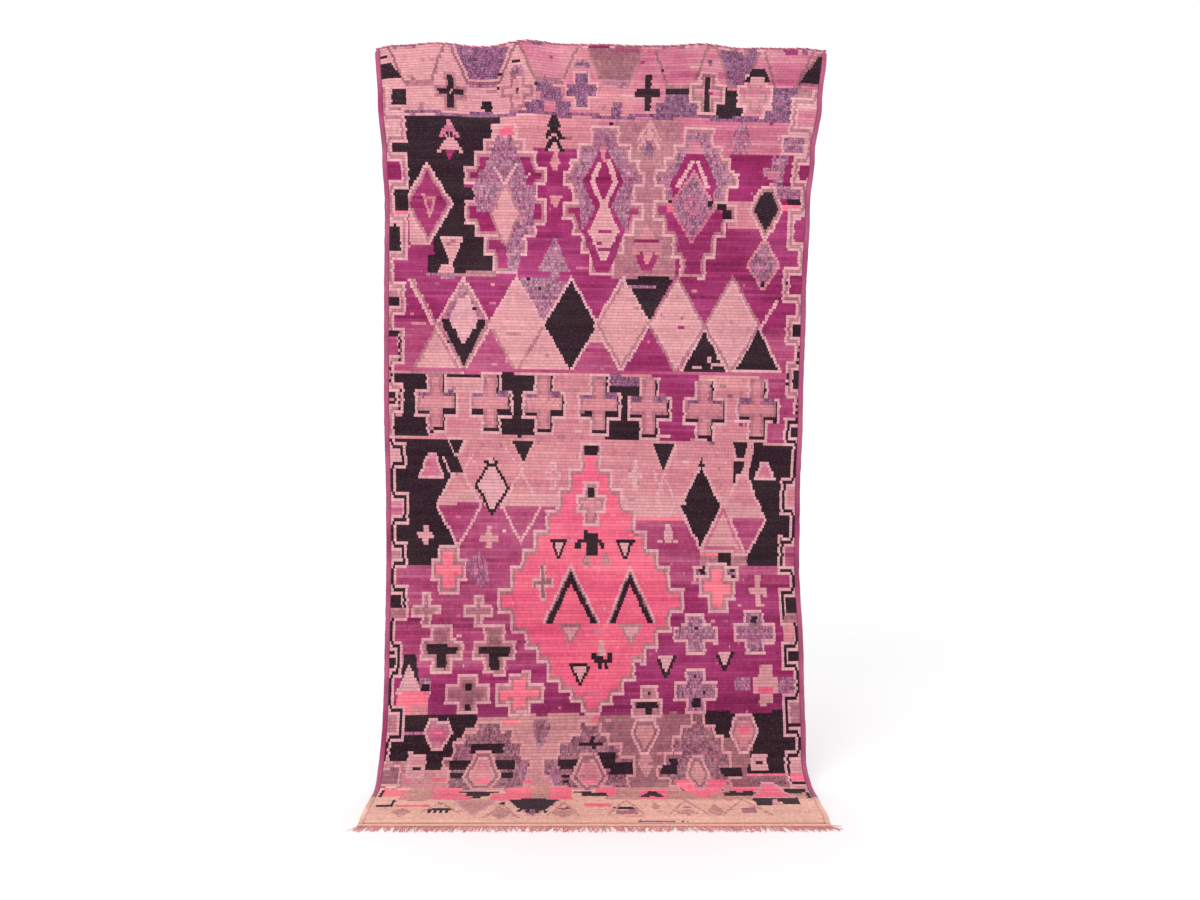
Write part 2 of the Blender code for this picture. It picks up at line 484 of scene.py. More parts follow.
def cell_of_faces(mesh, columns, rows):
    """For the faces of a piece's fine grid, which come first, the column and row each fills."""
    count = columns * rows
    corners = np.empty(len(mesh.loops), np.int32)
    mesh.loops.foreach_get("vertex_index", corners)
    corners = corners[: count * 4].reshape(count, 4)
    across = corners % (columns + 1)
    along = rows - corners // (columns + 1)
    return across.min(axis=1), along.min(axis=1)


def plain_colours(name, heather, count):
    """One yarn's colour and a heather amount, for each of a number of faces or rings."""
    return np.tile([*yarn_colour(name), heather], (count, 1))


def set_face_colours(mesh, colours):
    """Stores a colour and a heather amount for each face, as the yarn attribute."""
    attribute = mesh.attributes.new("yarn", "FLOAT_COLOR", "FACE")
    attribute.data.foreach_set("color", np.asarray(colours, np.float32).ravel())


def set_corner_places(mesh, name, places):
    """Stores a place in knots and rows for each corner, as a UV map."""
    layer = mesh.uv_layers.new(name=name)
    layer.uv.foreach_set("vector", np.asarray(places, np.float32).ravel())


def finish_piece(piece, material, node):
    """Gives a finished piece its material, and its place in the frame."""
    piece.data.materials.clear()
    piece.data.materials.append(material)
    make_active(piece)
    bpy.ops.object.shade_smooth()
    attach(piece, "root")
    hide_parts(node)
    return piece


# Shader maths.


class Value:
    """A number that varies over a surface. Arithmetic on it adds Math nodes."""

    def __init__(self, finish, socket):
        self.finish = finish
        self.socket = socket

    def maths(self, operation, *others):
        return self.finish.value("ShaderNodeMath", {"operation": operation}, [self, *others])

    def __add__(self, other):
        return self.maths("ADD", other)

    def __sub__(self, other):
        return self.maths("SUBTRACT", other)

    def __mul__(self, other):
        return self.maths("MULTIPLY", other)

    def __rsub__(self, other):
        return self.finish.value("ShaderNodeMath", {"operation": "SUBTRACT"}, [other, self])

    def __pow__(self, power):
        return self.maths("POWER", power)

    def __abs__(self):
        return self.maths("ABSOLUTE")

    def fraction(self):
        return self.maths("FRACT")

    def clamped(self):
        return self.finish.value("ShaderNodeClamp", {}, [self])


class Finish:
    """A material under construction: its nodes, and short ways to add the usual ones."""

    def __init__(self, name, roughness, sheen):
        self.material = bpy.data.materials.new(name)
        self.material.use_nodes = True
        self.tree = self.material.node_tree
        self.shader = self.tree.nodes["Principled BSDF"]
        self.shader.inputs["Roughness"].default_value = roughness
        self.shader.inputs["Sheen Weight"].default_value = sheen
        self.shader.inputs["Specular IOR Level"].default_value = 0.15

    def node(self, kind, settings, inputs):
        """Adds a node. inputs is a list in socket order, or a dictionary by socket name."""
        made = self.tree.nodes.new(kind)
        for key, setting in settings.items():
            setattr(made, key, setting)
        pairs = inputs.items() if isinstance(inputs, dict) else enumerate(inputs)
        for key, given in pairs:
            self.feed(made.inputs[key], given)
        return made

    def feed(self, socket, given):
        given = given.socket if isinstance(given, Value) else given
        if isinstance(given, bpy.types.NodeSocket):
            self.tree.links.new(given, socket)
        else:
            socket.default_value = given

    def value(self, kind, settings, inputs, output=0):
        return Value(self, self.node(kind, settings, inputs).outputs[output])

    def object_place(self):
        return self.node("ShaderNodeTexCoord", {}, {}).outputs["Object"]

    def map_place(self, name):
        """The two coordinates of a UV map."""
        place = self.node("ShaderNodeUVMap", {"uv_map": name}, {}).outputs["UV"]
        parts = self.node("ShaderNodeSeparateXYZ", {}, [place])
        return Value(self, parts.outputs["X"]), Value(self, parts.outputs["Y"])

    def noise(self, place, scale, detail=2.0):
        inputs = {"Vector": place, "Scale": scale, "Detail": detail}
        return self.value("ShaderNodeTexNoise", {}, inputs, "Fac")

    def stretched(self, place, stretch):
        """A place scaled along each axis, so that a pattern on it runs in bands."""
        return self.node("ShaderNodeMapping", {}, {"Vector": place, "Scale": stretch}).outputs[0]

    def yarn(self):
        """The yarn attribute: its colour and its heather amount."""
        found = self.node("ShaderNodeAttribute", {"attribute_name": "yarn"}, {})
        return found.outputs["Color"], Value(self, found.outputs["Alpha"])

    def scaled(self, colour, factor):
        inputs = {"Vector": colour, "Scale": factor}
        return self.node("ShaderNodeVectorMath", {"operation": "SCALE"}, inputs).outputs[0]

    def mixed(self, factor, first, second, blend="MIX"):
        """first where factor is 0, and second, or first times second, where it is 1."""
        settings = {"data_type": "RGBA", "blend_type": blend, "clamp_factor": True}
        inputs = {0: factor, 6: first, 7: second}
        return self.node("ShaderNodeMix", settings, inputs).outputs[2]

    def bump(self, height, distance, strength):
        inputs = {"Strength": strength, "Distance": distance, "Height": height}
        return self.node("ShaderNodeBump", {}, inputs).outputs["Normal"]

    def done(self, colour, roughness=None, normal=None):
        self.feed(self.shader.inputs["Base Color"], colour)
        if roughness is not None:
            self.feed(self.shader.inputs["Roughness"], roughness)
        if normal is not None:
            self.feed(self.shader.inputs["Normal"], normal)
        return self.material


# Grain of the wool: repeats of each noise to a metre, and how the dye's bands are stretched.
FIBRE_SCALE = 700.0
FLECK_SCALE = 210.0
TUFT_SCALE = 260.0
PATCH_SCALE = 1.7
BAND_SCALE = 2.2
BAND_STRETCH = (0.8, 1.0, 17.0)
BAND_STRENGTH = 0.22
PATCH_STRENGTH = 0.12

# Flecks of a heathered yarn: from which noise they show, how sharply, how strongly and how coloured.
LIGHT_ABOVE = 0.54
DARK_BELOW = 0.46
FLECK_CONTRAST = 9.0
LIGHT_STRENGTH = 0.55
DARK_STRENGTH = 0.50
LIGHT_FLECK = (0.560, 0.330, 0.430, 1.0)
DARK_FLECK = (0.105, 0.035, 0.085, 1.0)

# Grooves of the pile: how narrow they are, how deep the painted shade is in those between the knots of
# a row, how much painted shade they lay on pale and dark yarns, and the colour of that painted shade.
GROOVE_POWER = 4.0
PARTING_DEPTH = 0.05
PALE_SHADE = 1.3
DARK_SHADE = 0.35
PAINTED_SHADE_TINT = (0.46, 0.26, 0.32, 1.0)

# The weft that shows at the back: how much of a row it fills, and how it covers the yarns.
WEFT_FROM = 0.72
WEFT_CONTRAST = 6.0
WEFT_COVER = 0.65

# Depth of the relief at the back, and of wound or twisted yarn.
BACK_RELIEF = 0.0010
YARN_RELIEF = 0.0006


def heathered(finish, place, colour, heather):
    """Mixes lighter and darker fibres into a colour, by its heather amount."""
    fleck = finish.noise(place, FLECK_SCALE, 3.0)
    light = ((fleck - LIGHT_ABOVE) * FLECK_CONTRAST).clamped() * heather * LIGHT_STRENGTH
    dark = ((DARK_BELOW - fleck) * FLECK_CONTRAST).clamped() * heather * DARK_STRENGTH
    colour = finish.mixed(light, colour, LIGHT_FLECK)
    return finish.mixed(dark, colour, DARK_FLECK)


def fibrous(finish, place, colour, amount):
    """Makes a colour a little uneven from fibre to fibre."""
    fibre = finish.noise(place, FIBRE_SCALE)
    return finish.scaled(colour, (fibre - 0.5) * amount + 1.0), fibre


def ridge(position):
    """0 on the middle of a repeat and 1 at its ends, for a position counted in repeats."""
    return abs(position.fraction() - 0.5) * 2.0


def row_bands(finish, place):
    """Uneven dye that runs along the rows."""
    return finish.noise(finish.stretched(place, BAND_STRETCH), BAND_SCALE, 3.0) - 0.5


def pile_material():
    """Wool pile in rows of knots: grooves between the rows with painted shade in them, heathered yarns,
    uneven dye and wear.
    """
    finish = Finish("wool pile", 0.92, 0.08)
    place = finish.object_place()
    across, down = finish.map_place("weave")
    colour, heather = finish.yarn()
    colour = heathered(finish, place, colour, heather)
    colour, fibre = fibrous(finish, place, colour, 0.45)
    groove = ridge(down) ** GROOVE_POWER
    parting = ridge(across) ** GROOVE_POWER
    # Painted shade: the grooves between rows and the partings between knots are darkened in the colour,
    # more on pale yarns than on dark ones.
    depth = groove * (parting * 0.35 + fibre * 0.8 + 0.05) + parting * PARTING_DEPTH
    light = finish.value("ShaderNodeRGBToBW", {}, [colour])
    shade = depth.clamped() * (light * PALE_SHADE + DARK_SHADE)
    colour = finish.mixed(shade, colour, PAINTED_SHADE_TINT, "MULTIPLY")
    patches = finish.noise(place, PATCH_SCALE) - 0.5
    uneven = row_bands(finish, place) * BAND_STRENGTH + patches * PATCH_STRENGTH
    colour = finish.scaled(colour, uneven + 1.0)
    tuft = finish.noise(place, TUFT_SCALE)
    height = (fibre * 0.5 + tuft - parting * 0.4) * 0.6 - groove
    return finish.done(colour, fibre * 0.14 + 0.84, finish.bump(height, sizes().rib_depth, 0.8))


def ground_material():
    """The back of the weave: a flat row of paired loops for each row of knots, with weft between, and
    painted shade between the loops.
    """
    finish = Finish("ground weave", 0.94, 0.15)
    place = finish.object_place()
    across, down = finish.map_place("weave")
    colour, heather = finish.yarn()
    colour = heathered(finish, place, colour, heather)
    colour, fibre = fibrous(finish, place, colour, 0.35)
    weft = ((ridge(down) - WEFT_FROM) * WEFT_CONTRAST).clamped()
    loops = ridge(across * 2.0) ** 2.0
    colour = finish.mixed(weft * WEFT_COVER, colour, (*yarn_colour("warp"), 1.0))
    # Painted shade: the colour is darkened where the paired loops meet, in the recesses between them.
    colour = finish.mixed((loops * 0.45).clamped(), colour, PAINTED_SHADE_TINT, "MULTIPLY")
    colour = finish.scaled(colour, row_bands(finish, place) * 0.18 + 0.98)
    height = fibre * 0.3 - loops * 0.6 - weft
    return finish.done(colour, fibre * 0.1 + 0.86, finish.bump(height, BACK_RELIEF, 0.8))


def wound_material(name, fibre_amount, grain):
    """Wool yarn that is wound, twined or twisted: fibres along it, and a fuzzy surface."""
    finish = Finish(name, 0.90, 0.25)
    place = finish.object_place()
    colour, heather = finish.yarn()
    colour = heathered(finish, place, colour, heather)
    colour, fibre = fibrous(finish, place, colour, fibre_amount)
    strands = finish.noise(place, grain)
    colour = finish.scaled(colour, (strands - 0.5) * 0.30 + 1.0)
    height = fibre * 0.6 + strands
    return finish.done(colour, fibre * 0.1 + 0.84, finish.bump(height, YARN_RELIEF, 0.7))


# The pattern.


def streaks(random, shape, reach, amount):
    """Random unevenness that runs along the rows of an array, smooth over reach places."""
    rough = random.normal(0.0, 1.0, (shape[0], shape[1] + 2 * reach))
    window = np.hanning(2 * reach + 3)[1:-1]
    smooth = np.array([np.convolve(row, window, mode="valid") for row in rough])
    return smooth / smooth.std() * amount


def drifting(random, count, reach, amount):
    """The same along a single run, as in the dye along a hank of yarn."""
    return streaks(random, (1, count), reach, amount)[0]


class Chart:
    """The pattern, knot by knot. Places are in columns and units, as the hung rug is seen.

    Each shape is level with the rows, and is found from the place of its middle. The knots' own
    places are a little ragged, so that edges waver as they do in hand work.
    """

    def __init__(self, random):
        knots = (np.arange(KNOTS) + 0.5) * COLUMNS / KNOTS
        column, row = np.meshgrid(knots, (ROW_ENDS[1:] + ROW_ENDS[:-1]) / 2)
        self.x = column + streaks(random, column.shape, RAGGED_REACH, RAGGED)
        self.row = row + sum(w.height * np.sin(column / w.across + row / w.down) for w in WAVERS)
        self.random = random
        self.yarns = np.full(column.shape, NUMBER["rose"])

    def seen(self, x, y):
        """How far down each knot is seen, along the rows that pass through a place."""
        return self.row + askew(x, y) - between(RISES, y)

    def block(self, left, top, right, bottom):
        y = self.seen((left + right) / 2, (top + bottom) / 2)
        return (self.x > left) & (self.x < right) & (y > top) & (y < bottom)

    def taper(self, x, top, bottom, half_top, half_bottom):
        y = self.seen(x, (top + bottom) / 2)
        half = half_top + (half_bottom - half_top) * (y - top) / (bottom - top)
        return (y > top) & (y < bottom) & (abs(self.x - x) < half)

    def hexagon(self, x, top, widest, bottom, half_top, half, half_bottom):
        y = self.seen(x, widest)
        spread = np.interp(y, [top, widest, bottom], [half_top, half, half_bottom])
        return (y > top) & (y < bottom) & (abs(self.x - x) < spread)

    def lozenge(self, x, y, half, reach):
        down = self.seen(x, y)
        return abs(self.x - x) / half + abs(down - y) / reach < 1

    def cross(self, x, y, post, reach, bar, span):
        """post is half the upright's width and reach half its height; bar and span likewise."""
        down = abs(self.seen(x, y) - y)
        across = abs(self.x - x)
        return (across < post) & (down < reach) | (across < span) & (down < bar)

    def steps(self, x, y, table):
        """A figure of level steps, each (top, bottom, half)."""
        down = self.seen(x, y)
        across = abs(self.x - x)
        shape = np.zeros(across.shape, bool)
        for top, bottom, half in table:
            shape |= (down > top) & (down < bottom) & (across < half)
        return shape

    def stroke(self, x_top, top, x_bottom, bottom, width):
        """A slanting line."""
        y = self.seen((x_top + x_bottom) / 2, (top + bottom) / 2)
        x = x_top + (x_bottom - x_top) * (y - top) / (bottom - top)
        return (y > top) & (y < bottom) & (abs(self.x - x) < width / 2)

    def paint(self, shape, yarns):
        """Ties a shape in one yarn, or in rings of several from its edge inwards."""
        for name in yarns.split():
            self.yarns[shape] = NUMBER[name]
            shape = inset(shape)

    def tie(self, shape, rows):
        """Ties shapes of one kind. Each row is (yarns, place, place, ...)."""
        for yarns, *places in rows:
            for place in places:
                self.paint(shape(*place), yarns)

    def blocks(self, *rows):
        """Each place is (left, top, right, bottom)."""
        self.tie(self.block, rows)

    def tapers(self, *rows):
        """Each place is (x, top, bottom, half_top, half_bottom)."""
        self.tie(self.taper, rows)

    def hexagons(self, *rows):
        """Each place is (x, top, widest, bottom, half_top, half, half_bottom)."""
        self.tie(self.hexagon, rows)

    def lozenges(self, *rows):
        """Each place is (x, y, half, reach)."""
        self.tie(self.lozenge, rows)

    def strokes(self, *rows):
        """Each place is (x_top, top, x_bottom, bottom, width)."""
        self.tie(self.stroke, rows)

    def crosses(self, *rows):
        """Ties crosses one inside the other. Each place is (x, y, post, reach, bar, span)."""
        for yarns, *places in rows:
            for x, y, *widths in places:
                for ring, yarn in enumerate(yarns.split()):
                    self.paint(self.cross(x, y, *(width - ring for width in widths)), yarn)


def inset(shape):
    """A shape less a rim one row high and two knots wide, its corners filled."""
    near = shape.copy()
    near[:, 1:] &= shape[:, :-1]
    near[:, :-1] &= shape[:, 1:]
    inner = near.copy()
    inner[1:] &= near[:-1]
    inner[:-1] &= near[1:]
    inner[:, 2:] &= shape[:, :-2]
    inner[:, :-2] &= shape[:, 2:]
    return inner


def chart_grounds(chart):
    """The plain grounds that the figures stand on."""
    chart.blocks(
        ("blush", (0, -2, 57, 23), (0, 138.4, 160, 146.2)),
        ("rose", (57, -2, 92, 23), (0, 23, 80, 71), (2, 101.2, 102, 121.5)),
        ("pink", (92, -2, 160, 23), (80, 23, 160, 71)),
        ("magenta", (0, 33, 160, 86)),
        ("berry", (0, 33, 160, 50)),
        ("mauve", (0, 86, 160, 101.2), (143, 101.2, 160, 123), (0, 142, 80, 192),
         (80, 146.2, 160, 166)),
        ("magenta", (102, 101.2, 120, 121.5), (80, 166, 160, 206), (0, 192, 80, 206)),
        ("rose", (120, 101.2, 143, 121.5), (0, 121.5, 160, 138)),
        ("wine", (0, 200, 160, 206)),
        ("beige", (0, 205.5, 84, 228)),
        ("umber", (80, 205, 160, 228.4)),
        ("sand", (84, 228.2, 160, 236.4)),
        ("peach", (0, 228, 84, 240), (0, 236, 160, 262)),
    )


def chart_first_band(chart):
    """Tapered hangings under the top edge, with crosses between them."""
    chart.tapers(
        ("umber blush", (14.7, -1, 12, 10.8, 5)),
        ("umber blush plum", (38.3, -1, 12, 12.8, 5.8)),
        ("umber pink", (61.5, -1, 11.3, 11.4, 5.4), (108.5, -1, 13, 10.9, 4.8),
         (146.2, -1, 12.8, 9.8, 4)),
        ("taupe umber", (85.3, -1, 11, 11.6, 5.6)),
        ("umber plum", (128.7, -1, 12.5, 8.6, 3)),
        ("umber black", (158.5, 1.6, 12, 2.2, 9.6)),
        ("black", (1.5, 5.4, 10, 4.4, 7.8)),
        ("lavender", (50.3, 6.6, 9.2, 1.6, 3), (73.4, 4.2, 8.2, 1.8, 3.8)),
    )
    chart.blocks(
        ("mauve", (77, 0.4, 93.6, 1.3)),
        ("black", (1, 2.6, 4.4, 3.9), (103.5, 13.2, 112.5, 15.1), (5.2, 13.3, 10.4, 18.2),
         (37.3, 17.1, 41.2, 19.8), (38.2, 19.4, 40.8, 21.4), (125, 13, 129.6, 18.6),
         (122, 18.4, 132, 22.6), (48.3, 5, 51.8, 6.3), (67, 10.2, 70.2, 11.4), (77, 10.8, 79.5, 11.9),
         (43.8, 8.2, 44.9, 9.3), (43.2, 12.4, 44.2, 13.4)),
        ("taupe", (10, 11.2, 20.5, 12.3), (14.6, 17.6, 16.6, 20.8)),
        ("lavender", (33, 11.6, 43, 12.8), (56.5, 11, 67, 12.3), (80.3, 11.4, 90.5, 12.4)),
        ("plum", (57, 12.6, 66, 14.6), (58.6, 14.4, 67, 17.2), (53.2, 17.8, 60, 21.2),
         (64, 17, 71.3, 21.2), (103, 15.2, 112.5, 18), (100, 18, 115.5, 22.4), (84.2, 17.5, 87.8, 22),
         (142, 12.6, 152, 15.4), (139, 15, 149.5, 22.8), (118.2, 5.2, 119.4, 6.2)),
        ("pink", (60, 17.6, 64, 20.4)),
        ("lavender pink", (149.3, 15.2, 162, 23.6)),
        ("black", (56.6, 12, 57.6, 13.2), (66.4, 11.8, 67.4, 13), (93.4, 13.2, 94.6, 15.4),
         (101.4, 7.2, 102.4, 8.2)),
    )
    chart.crosses(
        ("taupe black", (26.3, 14.4, 2.2, 6.1, 2, 5.7)),
        ("taupe blush rose", (50.4, 14.6, 2.7, 5.7, 1.9, 5.7)),
        ("pink blush", (73.3, 14, 4, 6.9, 3.4, 7)),
        ("plum", (73.3, 13.6, 2.1, 5.4, 1.9, 5.2)),
        ("black", (97.1, 14.6, 1.2, 5.5, 1, 4.3)),
        ("blush umber pink", (118.6, 14.8, 3.4, 6.6, 3, 6.4)),
        ("pale pink taupe pink", (135.5, 15.2, 4.1, 6.9, 3.9, 6.4)),
    )
    chart.blocks(
        ("black", (50.1, 13.6, 51.1, 15.8), (117.5, 10.3, 119.6, 20.8)),
        ("pink", (119, 13.4, 121.4, 15.8)),
        ("pale", (26.2, 13.6, 26.8, 15.2)),
        ("plum", (2, 21.2, 150, 22.2)),
    )
    chart.tapers(("black", (136, 6.4, 10.8, 2.2, 4.6)), ("blush", (136, 9, 11.2, 2, 2.9)))
    chart_top_edge(chart)


def chart_top_edge(chart):
    """The first rows, tied in short lengths of leftover yarn."""
    leftovers = ("pale", "plum", "rose", "wine", "umber", "pink", "lavender")
    place = 6.0
    while place < 152:
        length = chart.random.uniform(1.2, 3.2)
        yarn = leftovers[chart.random.integers(len(leftovers))]
        if chart.random.random() < 0.45 + place / 400:
            chart.blocks((yarn, (place, -2.0, place + length, 1.2)))
        place += length


def chart_trees(chart):
    """Four little firs along the top of the medallions."""
    chart.tapers(
        ("pink", (25.2, 22.2, 25.2, 0.4, 1.3), (25.2, 25, 28.6, 1, 2.2)),
        ("blush", (25.2, 28.2, 32.2, 1.2, 3.2)),
        ("magenta", (25.2, 32, 34.8, 1.8, 0.3)),
        ("black", (63.5, 21.2, 25.6, 0.5, 2.8), (63.5, 25.4, 28.6, 1.2, 4)),
        ("blush", (63.5, 26.8, 28.8, 0.3, 2)),
        ("black", (63.5, 28.4, 32.9, 1.2, 4.2)),
        ("blush", (63.6, 30.2, 33.2, 0.6, 2.8), (98.4, 23, 31, 0.4, 1.3)),
        ("plum", (98.5, 29.8, 34.2, 1, 1.9)),
    )
    chart.strokes(
        ("pink", (24, 25, 21.6, 28.6, 1.3), (26.4, 25, 28.8, 28.6, 1.3)),
        ("blush", (23.6, 29.2, 21, 33, 1.3), (26.8, 29.2, 29.4, 33, 1.3), (97.8, 24, 94.4, 29.2, 1.3),
         (99, 24, 102.4, 29.2, 1.3), (97.6, 27.2, 94.2, 32.4, 1.3), (99.2, 27.2, 102.6, 32.4, 1.3)),
        ("lavender", (131.5, 24.4, 128.2, 31, 1.4), (132.5, 24.4, 135.8, 31, 1.4),
         (131.4, 28.8, 129.6, 33.6, 1.2), (132.6, 28.8, 134.6, 33.6, 1.2)),
    )
    chart.blocks(
        ("black", (24.2, 26.4, 24.9, 28.4), (25.6, 26.4, 26.3, 28.4), (61.4, 31, 62.4, 32.2),
         (64.8, 31, 65.8, 32.2)),
        ("lavender", (131.4, 23.8, 132.6, 33.4)),
    )
    chart.hexagons(("rose", (64, 33, 36.4, 38.8, 0.6, 1.9, 0.5)))


# Stepped figures, each step (top, bottom, half its width).
UPPER_STEPS = 5
FIRST_MEDALLION = (
    (32.8, 37.4, 11.6), (37, 42.6, 15.4), (42.4, 47.8, 11.8), (47.4, 55.2, 15.4), (54.8, 59.2, 11.6),
    (58.8, 64.8, 8.2), (64.4, 71, 4.6),
)
SECOND_MEDALLION = (
    (24.6, 30.8, 5.4), (30.4, 35.6, 10), (35.2, 39.2, 13), (38.8, 43.8, 15.3), (43.4, 48.4, 12),
    (48, 54.2, 15.3), (53.8, 58.4, 11.6), (58, 64.6, 8.2), (64.2, 71.2, 4.8),
)
THIRD_MEDALLION = (
    (25, 31.2, 5.6), (30.8, 35.2, 9.2), (34.8, 39.2, 12.4), (38.8, 43.8, 15.8), (43.4, 48.9, 12.2),
    (48.5, 54.4, 15.8), (54, 59.2, 12), (58.8, 65.4, 8.4), (65, 72.2, 5),
)


def chart_medallion_band(chart):
    """Three stepped medallions, with a black field at the left and lozenges at the right."""
    chart.blocks(
        ("black", (9.5, 21.9, 44, 23.6), (9.5, 23.5, 40.7, 28.2), (9.5, 28, 37.6, 32.6),
         (9.5, 32.5, 34, 37.2), (9.5, 37, 30.2, 44), (9.5, 44, 33.5, 47.6), (9.5, 47.5, 30.2, 55.2),
         (16, 55, 34.6, 59.3), (18.5, 59, 37.8, 64.7), (15, 64.5, 41.6, 70), (4.4, 44.3, 9.6, 51.6)),
        ("rose", (44, 22.4, 77, 33), (129, 47.8, 141, 56.6)),
        ("pale blush", (40.8, 24, 50.5, 29)),
        ("hot", (43.5, 25.4, 48.8, 28.2)),
        ("magenta", (56, 32.3, 74, 33.4), (121, 56.4, 152, 72.5)),
        ("taupe", (86, 23, 110, 72)),
        ("pink", (121, 23.6, 150, 34.3)),
        ("berry", (128.6, 34, 144.5, 38.4), (133, 38, 150, 47.8)),
        ("lavender", (144, 34.5, 150, 37.5), (141, 37.5, 148, 40.5), (145.5, 36.5, 149, 47.8)),
        ("pink", (143, 39, 147.5, 42)),
        ("blush", (9.4, 52.2, 17, 61.2)),
        ("magenta", (4, 61, 16.5, 72)),
        ("pale taupe blush", (37.6, 28.6, 53.2, 33.6)),
    )
    for x, table, upper in (
        (45.6, FIRST_MEDALLION, "berry"),
        (82.2, SECOND_MEDALLION, "lavender"),
        (116.6, THIRD_MEDALLION, "lavender"),
    ):
        chart.paint(chart.steps(x, 50, table[:UPPER_STEPS]), f"pale taupe {upper}")
        chart.paint(chart.steps(x, 50, table[UPPER_STEPS:]), "pale taupe magenta")
    chart.hexagons(("lavender", (45.2, 27.8, 41, 57, 2.6, 8.6, 0.5), (38.4, 38, 44, 51, 2, 5.2, 3.6)))
    chart.blocks(("pale", (54, 39.4, 55, 40.6)))
    chart.tapers(
        ("lavender", (52.6, 43, 58.2, 4.4, 3), (48.8, 57.6, 69.4, 3.8, 1.8), (82.6, 44, 57, 10.4, 8.4)),
    )
    chart.hexagons(
        ("taupe blush", (45.4, 42.6, 52, 62.6, 0.6, 6, 0.5)),
        ("berry", (81.9, 31.6, 42, 52, 1.2, 7.6, 1.4), (115.8, 33.4, 43, 52, 3, 8.8, 6)),
        ("magenta", (82.6, 48, 57, 70, 1.6, 8.2, 2.4)),
        ("pale blush", (82.6, 48.6, 57.2, 66, 0.8, 5.8, 1)),
    )
    chart.lozenges(("pink lavender", (115.8, 49.8, 9.2, 11.6), (115.6, 49.5, 3, 3.4)))
    chart.strokes(
        ("pale", (41.2, 37, 45.2, 42.8, 1.2), (49.8, 37, 45.8, 42.8, 1.2),
         (80.4, 35.4, 77.8, 42.2, 1.9), (77.8, 42, 82.4, 49.4, 1.9), (83.8, 35.4, 86.6, 42.2, 1.9),
         (86.6, 42, 82.6, 49.4, 1.9), (115, 35.2, 110, 43.8, 1.7), (116.2, 35.2, 121.2, 43.8, 1.7)),
    )
    chart.tapers(
        ("pink", (115.9, 30.2, 33.8, 1.6, 3.8), (81.9, 31, 34.4, 1.6, 0.6)),
        ("rose", (64.3, 46.6, 50.2, 2.5, 0.5), (99, 56.4, 60.4, 0.8, 3.6)),
        ("pale blush", (25.3, 58.8, 67.4, 4.6, 0.4)),
        ("blush", (23.7, 67.6, 71.6, 2.4, 3.4)),
        ("lavender", (64.3, 59.3, 70, 0.4, 6.2)),
        ("magenta", (99.2, 62.8, 69.8, 5.4, 2.2)),
        ("rose", (99.4, 61.6, 68.2, 3.2, 0.3)),
    )
    chart.blocks(
        ("magenta", (80.6, 56.6, 85.6, 57.6), (94, 60, 103.4, 60.9), (60.8, 43.6, 70.2, 46.2)),
        ("wine", (80, 60.4, 82.4, 61.4), (80.4, 62.6, 86.8, 63.4)),
        ("lavender", (63.2, 69.6, 66.4, 71.6), (16, 70.2, 27, 71.6)),
        ("rose", (93.6, 61.4, 104.6, 63.6), (93.8, 63.4, 96.4, 64.8), (102, 63.4, 104.4, 64.8)),
        ("black", (125, 48.6, 128.4, 51.2), (127, 51, 130.6, 53.8), (83.4, 23.6, 85, 24.8),
         (106.4, 47.8, 108, 49), (121.6, 48.4, 123.4, 49.6), (14, 72, 27, 73.2)),
        ("hot", (106, 49.4, 108.2, 51.4)),
        ("taupe", (27, 69.8, 42.5, 71.3)),
    )
    chart.hexagons(("pale taupe magenta", (16.6, 36.4, 48.8, 61.4, 0.6, 9.4, 0.6)))
    chart.tapers(("rose mauve", (17, 46, 53, 2.8, 0.4)))
    chart.hexagons(("pale taupe black", (143.4, 43, 50.6, 60.6, 2.2, 7, 0.5)))
    chart_trees(chart)


